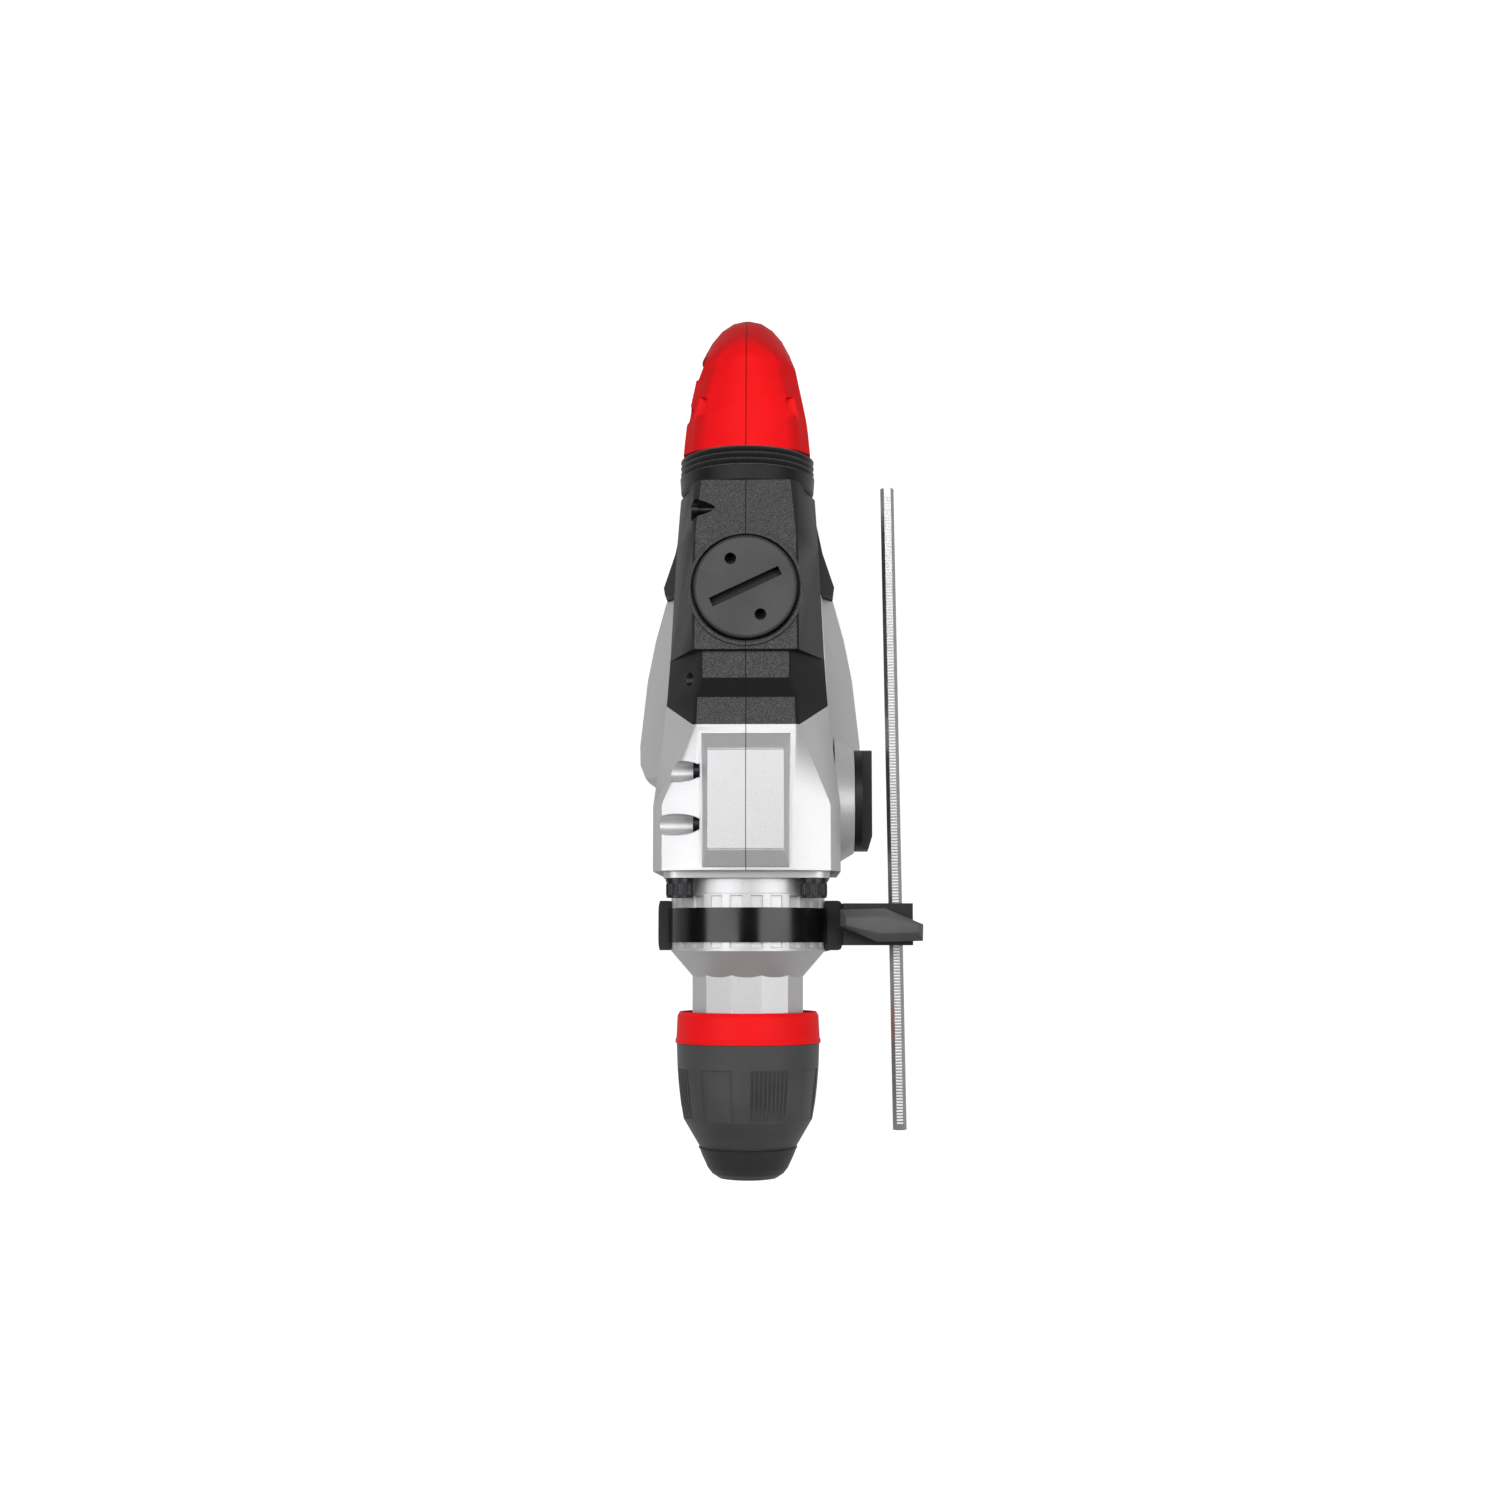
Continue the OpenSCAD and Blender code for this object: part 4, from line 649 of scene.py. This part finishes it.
class HAMMER_OT_rear_handle(HammerOperator, bpy.types.Operator):
    """Red handle halves, the trigger, the switch and the gland"""

    bl_idname = "hammer.rear_handle"
    bl_label = "Rear Handle"

    # Share of the red left on the steep sides of the handle, as painted shade
    side_shade_share = 0.76
    crown_facing = (0.7, 0.8)
    ridge_half = 8 * MM
    ridge_step = 7 * MM
    ridge_reach = 2
    # Millimetres back from the trigger's face, and up from the middle
    ridge_profile = ((0.3, -1.6), (-0.8, -0.8), (-0.8, 0.8), (0.3, 1.6))

    def ridges(self, finish):
        """Finger ridges across the trigger"""
        low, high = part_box("trigger")
        parts = []
        for step in range(-self.ridge_reach, self.ridge_reach + 1):
            height = (low.z + high.z) / 2 + step * self.ridge_step
            bar = [
                (x, low.y + back * MM, height + up * MM)
                for x in (self.ridge_half, -self.ridge_half)
                for back, up in self.ridge_profile
            ]
            parts.append((bar, capped_faces(2, len(self.ridge_profile))))
        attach(mesh_piece("trigger_ridges", *gather(parts), finish, "grip_plastic"), "trigger")

    def execute(self, context):
        halves = ("handle_left", "handle_right")
        handle = red_plastic("handle_red")
        # Painted shade: the steep sides of the handle take a darker red than its crown
        crown = handle.up_facing(*self.crown_facing, facing="Normal")
        shaded = shade(colours().red, self.side_shade_share)
        handle.set("Base Color", handle.mixed(crown, shaded, handle.painted())).seam()
        wear(handle, *halves)
        smooth_skin(*halves)
        trigger = smooth_moulding("trigger_moulding", colours().motor, roughness=0.42)
        wear(trigger, "trigger")
        self.ridges(trigger)
        wear(smooth_moulding("switch_moulding", colours().moulding, roughness=0.5), "switch")
        wear(rubber("gland_rubber", colours().rubber), "cord_gland")
        return {"FINISHED"}


class HAMMER_OT_bellows(HammerOperator, bpy.types.Operator):
    """Rubber bellows between the body and the rear handle"""

    bl_idname = "hammer.bellows"
    bl_label = "Bellows"

    count = 96
    inset = 0.4 * MM
    wall = 3.6 * MM
    band_share = 0.5
    # Distance from the end of the plain band, and growth there
    band_front = ((0.0, -0.9 * MM), (0.5 * MM, -0.2 * MM))
    band_back = (-1.2 * MM, 0.3 * MM)
    ribs = 3
    rib_steps = 10
    rib_fullness = 0.7
    # Shares of half a rib over which the painted groove shade fades into the crest colour
    worn = (0.35, 0.8)
    groove_shade_tone = 0.15

    def rib_span(self):
        """Where the ribs start and end"""
        low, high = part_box("bellows")
        return low.y + (high.y - low.y) * self.band_share, high.y

    def outline(self, y, grow):
        """Oval round the bellows at one station"""
        low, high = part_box("bellows")
        middle = (low + high) / 2
        half = (high - low) / 2 - Vector((self.inset, 0, self.inset))
        return [
            (
                middle.x + (half.x + grow) * math.sin(turn),
                y,
                middle.z + (half.z + grow) * math.cos(turn),
            )
            for turn in turns(self.count)
        ]

    def profile(self):
        """Stations and growth of the outside, from the body to the handle"""
        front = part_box("bellows")[0].y
        start, end = self.rib_span()
        pitch = (end - start) / self.ribs
        full = sizes().rib_swell
        points = [(front + along, grow) for along, grow in self.band_front]
        points.append((start + self.band_back[0], self.band_back[1]))
        for rib in range(self.ribs):
            for step, turn in enumerate(turns(self.rib_steps)):
                swell = full * (0.5 - 0.5 * math.cos(turn)) ** self.rib_fullness
                points.append((start + pitch * (rib + step / self.rib_steps), swell - full))
        return points + [(end, -full)]

    def finish(self):
        """Rubber with painted shade in the grooves between the ribs, and its own colour on the
        crests
        """
        finish = rubber("bellows_rubber", colours().rubber, roughness=0.42)
        start, end = self.rib_span()
        half_pitch = (end - start) / self.ribs / 2
        along = finish.ranged(finish.axis(finish.coords, "Y"), 0.0, end - start, start, end)
        wave = finish.maths("PINGPONG", along, half_pitch)
        # Painted shade: darker in the grooves between the ribs, the rubber's own colour on the
        # crests
        worn = finish.ranged(wave, 0.0, 1.0, *(share * half_pitch for share in self.worn))
        dark = shade(colours().rubber, self.groove_shade_tone)
        return finish.set("Base Color", finish.mixed(worn, dark, finish.painted()))

    def execute(self, context):
        outside = self.profile()
        inside = [(outside[-1][0], -self.wall), (outside[0][0], -self.wall)]
        rings = [self.outline(y, grow) for y, grow in outside + inside]
        faces = rings_to_faces(len(rings), self.count, closed=True)
        vertices = [vertex for ring in rings for vertex in ring]
        skin = (vertices, faces, self.finish(), "black_rubber")
        piece = mesh_piece("bellows_skin", *skin, smooth_angle=50)
        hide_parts("bellows")
        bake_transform(piece)
        return {"FINISHED"}


class HAMMER_OT_chuck(HammerOperator, bpy.types.Operator):
    """Chuck sleeve with its red ring, and the dust cap with a thin lip at its back"""

    bl_idname = "hammer.chuck"
    bl_label = "Chuck"

    count = 96
    lip_half = 0.5 * MM
    lip_sides = 10
    lip_sink = 0.5

    def lip(self, finish):
        """Thin round lip at the back of the dust cap"""
        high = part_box("dust_cap")[1]
        vertices = []
        for turn in turns(self.count):
            for swing in turns(self.lip_sides):
                reach = high.x + self.lip_half * (math.cos(swing) - self.lip_sink)
                y = high.y - self.lip_half * (1.0 - math.sin(swing))
                vertices.append((reach * math.sin(turn), y, reach * math.cos(turn)))
        faces = rings_to_faces(self.count, self.lip_sides, closed=True)
        lip = mesh_piece("nose_lip", vertices, faces, finish, "black_rubber", smooth_angle=80)
        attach(lip, "spindle")

    def execute(self, context):
        wear(rubber("sleeve_rubber", colours().sleeve, roughness=0.55), "chuck_sleeve")
        wear(red_plastic("ring_red"), "sleeve_ring")
        wear(rubber("nose_rubber", colours().nose, roughness=0.58), "dust_cap")
        self.lip(rubber("lip_rubber", colours().lacquer))
        return {"FINISHED"}


class HAMMER_OT_side_handle(HammerOperator, bpy.types.Operator):
    """Side handle with the ribs of its grip, its strap, clamp block and wing knob"""

    bl_idname = "hammer.side_handle"
    bl_label = "Side Handle"

    count = 72
    grip_radius = 17 * MM
    grip_taper = (1.0 / 20, 0.5 / 20)
    roundness = 2.2
    rib_step = 5 * MM
    rib_reach = 4
    # Millimetres along the grip, and out from its skin
    rib_profile = ((-1.5, -0.5), (-0.9, 0.7), (0.9, 0.7), (1.5, -0.5))
    rib_sink = 0.5
    rib_fade = (-0.9, -0.4)
    wing_edge = 1.6 * MM

    def rounded(self, share):
        """Share of the half width that a point of the rounded grip has"""
        return math.copysign(abs(share) ** (2 / self.roundness), share)

    def ribs(self, finish):
        """Raised ribs round the grip, which run out under it"""
        low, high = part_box("side_handle")
        middle_y = (low.y + high.y) / 2
        middle_z = low.z + self.grip_radius
        start, stop = self.rib_fade
        parts = []
        for step in range(-self.rib_reach, self.rib_reach + 1):
            x = step * self.rib_step
            half_y, half_z = (self.grip_radius - abs(x) * taper for taper in self.grip_taper)
            ring = []
            for turn in turns(self.count):
                across, up = math.cos(turn), math.sin(turn)
                full = min(1.0, max(0.0, (up - start) / (stop - start)))
                for along, out in self.rib_profile:
                    grow = (out * full - self.rib_sink * (1.0 - full)) * MM
                    y = middle_y + (half_y + grow) * self.rounded(across)
                    z = middle_z + (half_z + grow) * self.rounded(up)
                    ring.append((x + along * MM, y, z))
            parts.append((ring, rings_to_faces(self.count, len(self.rib_profile), closed=True)))
        piece = mesh_piece("grip_ribs", *gather(parts), finish, "grip_plastic", smooth_angle=35)
        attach(piece, "side_handle")

    def execute(self, context):
        grain = sizes().coarse_grain
        grip = moulding(
            "grip_moulding", colours().moulding, roughness=0.46, grain_size=grain, relief=0.08 * MM
        )
        wear(grip, "side_handle")
        smooth_skin("side_handle")
        self.ribs(grip)
        block = moulding(
            "clamp_moulding", colours().moulding, roughness=0.5, grain_size=grain, relief=0.16 * MM
        )
        wear(block, "clamp_block")
        wing = moulding(
            "wing_moulding", colours().wing, roughness=0.5, grain_size=grain, relief=0.2 * MM,
            spread=0.25, edge=self.wing_edge
        )
        wear(wing, "wing_knob")
        lacquer = Finish("strap_lacquer", colours().lacquer, roughness=0.2, specular=0.28)
        lacquer.tone(lacquer.noise(size=12 * MM), spread=0.2)
        lacquer.rough(lacquer.noise(size=18 * MM), low=0.16, high=0.24)
        wear(lacquer, "strap")
        return {"FINISHED"}


class HAMMER_OT_depth_rod(HammerOperator, bpy.types.Operator):
    """Zinc plated depth rod with fine teeth along its upper flat"""

    bl_idname = "hammer.depth_rod"
    bl_label = "Depth Rod"

    drawn_tone = 0.4
    drawn_marks = (1.0, 0.2, 1.0)
    end_margin = 3 * MM
    width_share = 0.46
    sink = 0.1 * MM
    # Shares of the pitch and of the height, with two corners at each
    tooth_profile = ((0.0, 0.0), (0.16, 1.0), (0.58, 1.0), (0.74, 0.0))
    tooth_faces = (
        (0, 1, 3, 2), (2, 3, 5, 4), (4, 5, 7, 6), (6, 7, 1, 0), (0, 2, 4, 6), (1, 7, 5, 3)
    )

    def teeth(self):
        """Row of teeth over the upper flat, clear of both ends of the rod"""
        low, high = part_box("depth_rod")
        slide = next(joint for joint in frame["joints"] if joint["name"] == "depth_rod_slide")
        along = Vector(slide["axis"]).normalized()
        across = Vector((along.y, -along.x, 0.0))
        side_of_hexagon = (high.z - low.z) / math.sqrt(3)
        half = side_of_hexagon * self.width_share
        middle = Vector(((low.x + high.x) / 2, (low.y + high.y) / 2, high.z))
        reach = (high.y - low.y) / 2 / along.y - self.end_margin
        pitch = sizes().tooth_pitch
        height = sizes().tooth_height + self.sink
        parts = []
        for tooth in range(int(2 * reach / pitch)):
            start = middle + along * (tooth * pitch - reach)
            corners = [
                start + along * (share * pitch) + across * (side * half)
                + Vector((0, 0, rise * height - self.sink))
                for share, rise in self.tooth_profile
                for side in (-1, 1)
            ]
            parts.append((corners, self.tooth_faces))
        return gather(parts)

    def execute(self, context):
        dull = shade(colours().zinc, self.drawn_tone)
        drawn = machined(
            "drawn_zinc", dull, roughness=0.3, stretch=self.drawn_marks, metallic=0.8
        )
        wear(drawn, "depth_rod")
        finish = machined("cut_zinc", colours().zinc, roughness=0.4, metallic=0.08)
        piece = mesh_piece("depth_rod_teeth", *self.teeth(), finish, "bright_steel")
        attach(piece, "depth_rod")
        return {"FINISHED"}


class HAMMER_OT_selector(HammerOperator, bpy.types.Operator):
    """Mode selector knob"""

    bl_idname = "hammer.selector"
    bl_label = "Selector"

    def execute(self, context):
        finish = moulding(
            "selector_moulding", colours().moulding, roughness=0.42,
            grain_size=0.5 * MM, relief=0.03 * MM
        )
        wear(finish, "selector_knob")
        return {"FINISHED"}


class HAMMER_OT_fasteners(HammerOperator, bpy.types.Operator):
    """Black screws with knurled heads, and the clamp bolt"""

    bl_idname = "hammer.fasteners"
    bl_label = "Fasteners"

    edge_round = 0.3 * MM
    screw_half = 33 * MM
    head_radius = 6.5 * MM
    head_y = (140.4 * MM, 146.8 * MM)
    ridges = 36
    valley = 0.2
    run_out = 0.4 * MM

    def knurls(self, finish):
        """Ridged bands round the heads of the four flange screws"""
        height = sizes().knurl_height
        ridged = [self.head_radius + share * height for share in (-self.valley, 1.0)] * self.ridges
        buried = [self.head_radius - height] * len(ridged)
        front, back = self.head_y
        bands = (
            (front, buried),
            (front + self.run_out, ridged),
            (back - self.run_out, ridged),
            (back, buried),
        )
        faces = rings_to_faces(len(bands), len(ridged), closed=True)
        heads = []
        for x in (-self.screw_half, self.screw_half):
            for z in (-self.screw_half, self.screw_half):
                head = [
                    (x + radius * math.sin(turn), y, z + radius * math.cos(turn))
                    for y, radii in bands
                    for turn, radius in zip(turns(len(radii)), radii)
                ]
                heads.append((head, faces))
        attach(mesh_piece("screw_knurls", *gather(heads), finish, "black_steel"), "housing")

    def execute(self, context):
        oxide = Finish("black_oxide", colours().oxide, roughness=0.3, metallic=0.8)
        oxide.tone(oxide.noise(size=2 * MM), spread=0.3)
        oxide.rough(oxide.noise(size=1.2 * MM), low=0.28, high=0.46)
        oxide.round_edges(self.edge_round)
        wear(oxide, "housing_screws", "handle_screws", "clamp_bolt")
        self.knurls(oxide)
        return {"FINISHED"}


class HAMMER_OT_springs(HammerOperator, bpy.types.Operator):
    """Coil springs of round wire, wound over the length of each spring's solid"""

    bl_idname = "hammer.springs"
    bl_label = "Springs"

    steps = 36
    sides = 10
    # Radius of the wire, and its windings
    sleeve_wire = (0.8 * MM, 4)
    handle_wire = (1.3 * MM, 6)
    wire_tone = 0.3
    wire_marks = (1.0, 1.0, 0.1)

    def coil(self, node_name, wire, windings, front_body, rear_body, finish):
        """Round wire wound between both ends of the spring's solid"""
        low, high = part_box(node_name)
        middle = (low + high) / 2
        radius = (high.x - low.x) / 2 - wire
        first, last = low.y + wire, high.y - wire
        count = self.steps * windings
        vertices = []
        for step in range(count + 1):
            turn = math.tau * step / self.steps
            y = first + (last - first) * step / count
            for swing in turns(self.sides):
                reach = radius + wire * math.cos(swing)
                place = (middle.x + reach * math.sin(turn), y + wire * math.sin(swing))
                vertices.append((*place, middle.z + reach * math.cos(turn)))
        wound = (vertices, capped_faces(count + 1, self.sides), finish, "black_steel")
        piece = mesh_piece(f"{node_name}_coil", *wound, smooth_angle=60)
        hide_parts(node_name)
        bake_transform(piece)

    def execute(self, context):
        dark = shade(colours().steel, self.wire_tone)
        finish = machined("spring_wire", dark, roughness=0.34, stretch=self.wire_marks)
        self.coil("sleeve_spring", *self.sleeve_wire, "sleeve", "spindle", finish)
        self.coil("handle_spring", *self.handle_wire, "housing", "rear_handle", finish)
        return {"FINISHED"}


class HAMMER_OT_drive(HammerOperator, bpy.types.Operator):
    """Steel, alloy, bronze and seals of the impact drive and the gears"""

    bl_idname = "hammer.drive"
    bl_label = "Impact Drive"

    turned_parts = (
        "tool_holder", "hammer_tube", "lock_ring", "lock_roller_right", "lock_roller_left",
        "impact_bolt", "striker", "rear_bearing",
    )
    upright_parts = (
        "wrist_pin", "crank_pin", "crankshaft", "crank_gear", "bevel_shaft", "intermediate_gear",
        "armature_shaft", "armature_bearings", "gear_bearings",
    )
    forged_parts = ("connecting_rod", "ring_gear", "handle_pivot_pin")
    forged_tone = 0.4
    soft_metal_marks = (0.1, 1.0, 0.1)

    def execute(self, context):
        steel = colours().steel
        dark = shade(steel, self.forged_tone)
        soft = {"roughness": 0.35, "stretch": self.soft_metal_marks}
        turned = machined("turned_steel", steel, roughness=0.28, stretch=ROUND_SPINDLE)
        wear(turned, *self.turned_parts)
        ground = machined("ground_steel", steel, roughness=0.26, stretch=ROUND_MOTOR)
        wear(ground, *self.upright_parts)
        wear(machined("forged_steel", dark, roughness=0.42), *self.forged_parts)
        wear(machined("piston_alloy", colours().casting, **soft), "piston")
        wear(machined("bush_bronze", colours().bronze, **soft), "front_bearing")
        wear(rubber("seal_rubber", colours().rubber), "spindle_seal", "striker_seal")
        return {"FINISHED"}


class HAMMER_OT_motor(HammerOperator, bpy.types.Operator):
    """Laminated cores, windings, commutator, brushes and fan of the motor"""

    bl_idname = "hammer.motor"
    bl_label = "Motor"

    core_tone = 0.35
    core_marks = (0.02, 0.02, 1.0)
    wire_marks = (0.05, 1.0, 0.05)
    segment_marks = (0.1, 0.1, 1.0)

    def execute(self, context):
        core, copper = shade(colours().steel, self.core_tone), colours().copper
        laminated = machined("laminated_steel", core, roughness=0.45, stretch=self.core_marks)
        wear(laminated, "stator_core", "armature_core")
        wound = machined("wound_copper", copper, roughness=0.4, stretch=self.wire_marks)
        wear(wound, "field_coils")
        segments = machined(
            "commutator_copper", copper, roughness=0.3, stretch=self.segment_marks
        )
        wear(segments, "commutator")
        holder = moulding(
            "phenolic", colours().phenolic, roughness=0.5,
            grain_size=0.6 * MM, relief=0.03 * MM, spread=0.25
        )
        wear(holder, "brush_holders")
        carbon = moulding(
            "carbon", colours().rubber, roughness=0.6,
            grain_size=0.3 * MM, relief=0.02 * MM, spread=0.2
        )
        wear(carbon, "carbon_brushes")
        fan = moulding(
            "fan_moulding", colours().charcoal, roughness=0.5,
            grain_size=0.6 * MM, relief=0.03 * MM
        )
        wear(fan, "fan")
        return {"FINISHED"}


class HAMMER_OT_stage(HammerOperator, bpy.types.Operator):
    """Pale floor, soft lights and the camera above the tool"""

    bl_idname = "hammer.stage"
    bl_label = "Stage"

    white = (1.0, 1.0, 1.0, 1.0)
    floor_half = 6.0
    floor_cloud = 0.4
    soft_boxes = (("left_box", (-0.8, 0.2, 1.1)), ("right_box", (0.9, 0.2, 1.05)))
    soft_box_size = (0.42, 1.2)
    top_light_place = (0.0, 0.75, 1.4)
    top_light_size = (1.0, 0.3)
    sensor_width = 36.0

    def seen_or_cast(self, tree, seen, cast):
        """One strength for what the camera sees, and one for the light that falls on the tool"""
        strength = tree.nodes.new("ShaderNodeMapRange")
        strength.inputs["To Min"].default_value = cast
        strength.inputs["To Max"].default_value = seen
        ray = tree.nodes.new("ShaderNodeLightPath").outputs["Is Camera Ray"]
        tree.links.new(ray, strength.inputs["Value"])
        return strength.outputs["Result"]

    def floor(self, stage):
        """Wide flat floor under the tool's base, which glows for the camera"""
        half, height = self.floor_half, CAD_BOX[0][2]
        corners = [(-half, -half, height), (half, -half, height)]
        corners += [(half, half, height), (-half, half, height)]
        mesh = bpy.data.meshes.new("floor")
        mesh.from_pydata(corners, [], [(0, 1, 2, 3)])
        floor = bpy.data.objects.new("floor", mesh)
        bpy.context.scene.collection.objects.link(floor)
        finish = Finish("floor_paint", colours().floor, roughness=0.9, specular=0.1)
        finish.tone(finish.noise(self.floor_cloud), spread=0.01)
        finish.set("Emission Color", self.white)
        glow = self.seen_or_cast(finish.tree, stage.floor_glow, stage.floor_cast)
        finish.set("Emission Strength", glow)
        floor.data.materials.append(finish.material)

    def area_light(self, name, place, aim, size, power):
        """Rectangular light at a place, turned to its aim"""
        lamp = bpy.data.lights.new(name, "AREA")
        lamp.shape = "RECTANGLE"
        lamp.size, lamp.size_y = size
        lamp.energy = power
        light = bpy.data.objects.new(name, lamp)
        bpy.context.scene.collection.objects.link(light)
        light.location = place
        light.rotation_euler = (Vector(aim) - Vector(place)).to_track_quat("-Z", "Y").to_euler()

    def lights(self, stage):
        """Two soft boxes, a narrow light overhead and the light of the room"""
        middle = [(low + high) / 2 for low, high in zip(*CAD_BOX)]
        for name, place in self.soft_boxes:
            self.area_light(name, place, middle, self.soft_box_size, stage.key_power)
        top = (self.top_light_place, middle, self.top_light_size)
        self.area_light("top_light", *top, stage.fill_power)
        world = bpy.data.worlds.new("room")
        world.use_nodes = True
        tree = world.node_tree
        background = tree.nodes["Background"]
        background.inputs["Color"].default_value = self.white
        strength = self.seen_or_cast(tree, stage.backdrop, stage.world_strength)
        tree.links.new(strength, background.inputs["Strength"])
        bpy.context.scene.world = world

    def camera(self, stage):
        """Camera that looks down on the tool with the rear handle at the top of the picture"""
        lens = bpy.data.cameras.new("camera")
        lens.lens = stage.lens
        lens.sensor_width = self.sensor_width
        camera = bpy.data.objects.new("camera", lens)
        bpy.context.scene.collection.objects.link(camera)
        forward = (Vector(stage.camera_aim) - Vector(stage.camera_place)).normalized()
        right = forward.cross(Vector((0, 1, 0))).normalized()
        up = right.cross(forward)
        turn = Matrix((right, up, -forward)).transposed()
        camera.matrix_world = Matrix.Translation(stage.camera_place) @ turn.to_4x4()
        bpy.context.scene.camera = camera

    def execute(self, context):
        stage = context.scene.hammer_stage
        self.floor(stage)
        self.lights(stage)
        self.camera(stage)
        context.scene.view_settings.view_transform = "Standard"
        return {"FINISHED"}


OPERATORS = (
    HAMMER_OT_stage,
    HAMMER_OT_front_covers,
    HAMMER_OT_barrel,
    HAMMER_OT_rear_covers,
    HAMMER_OT_crank_cap,
    HAMMER_OT_motor_housing,
    HAMMER_OT_rear_handle,
    HAMMER_OT_bellows,
    HAMMER_OT_chuck,
    HAMMER_OT_side_handle,
    HAMMER_OT_depth_rod,
    HAMMER_OT_selector,
    HAMMER_OT_fasteners,
    HAMMER_OT_springs,
    HAMMER_OT_drive,
    HAMMER_OT_motor,
)
GROUPS = {
    "hammer_sizes": HammerSizes,
    "hammer_colours": HammerColours,
    "hammer_stage": HammerStage,
}


class HAMMER_PT_sidebar(bpy.types.Panel):
    """Sizes, colours and pieces of the rotary hammer"""

    bl_idname = "HAMMER_PT_sidebar"
    bl_label = "Rotary Hammer"
    bl_space_type = "VIEW_3D"
    bl_region_type = "UI"
    bl_category = "Hammer"

    def draw(self, context):
        layout = self.layout
        for group_name in GROUPS:
            group = getattr(context.scene, group_name)
            box = layout.box()
            for name in group.bl_rna.properties.keys():
                if name not in {"rna_type", "name"}:
                    box.prop(group, name)
        for operator in OPERATORS:
            layout.operator(operator.bl_idname)


CLASSES = (*GROUPS.values(), *OPERATORS, HAMMER_PT_sidebar)


def register():
    for cls in CLASSES:
        bpy.utils.register_class(cls)
    for name, group in GROUPS.items():
        setattr(bpy.types.Scene, name, bpy.props.PointerProperty(type=group))


def unregister():
    for name in GROUPS:
        delattr(bpy.types.Scene, name)
    for cls in reversed(CLASSES):
        bpy.utils.unregister_class(cls)


def main():
    register()
    for operator in OPERATORS:
        group, name = operator.bl_idname.split(".")
        getattr(getattr(bpy.ops, group), name)()


if __name__ == "__main__":
    main()
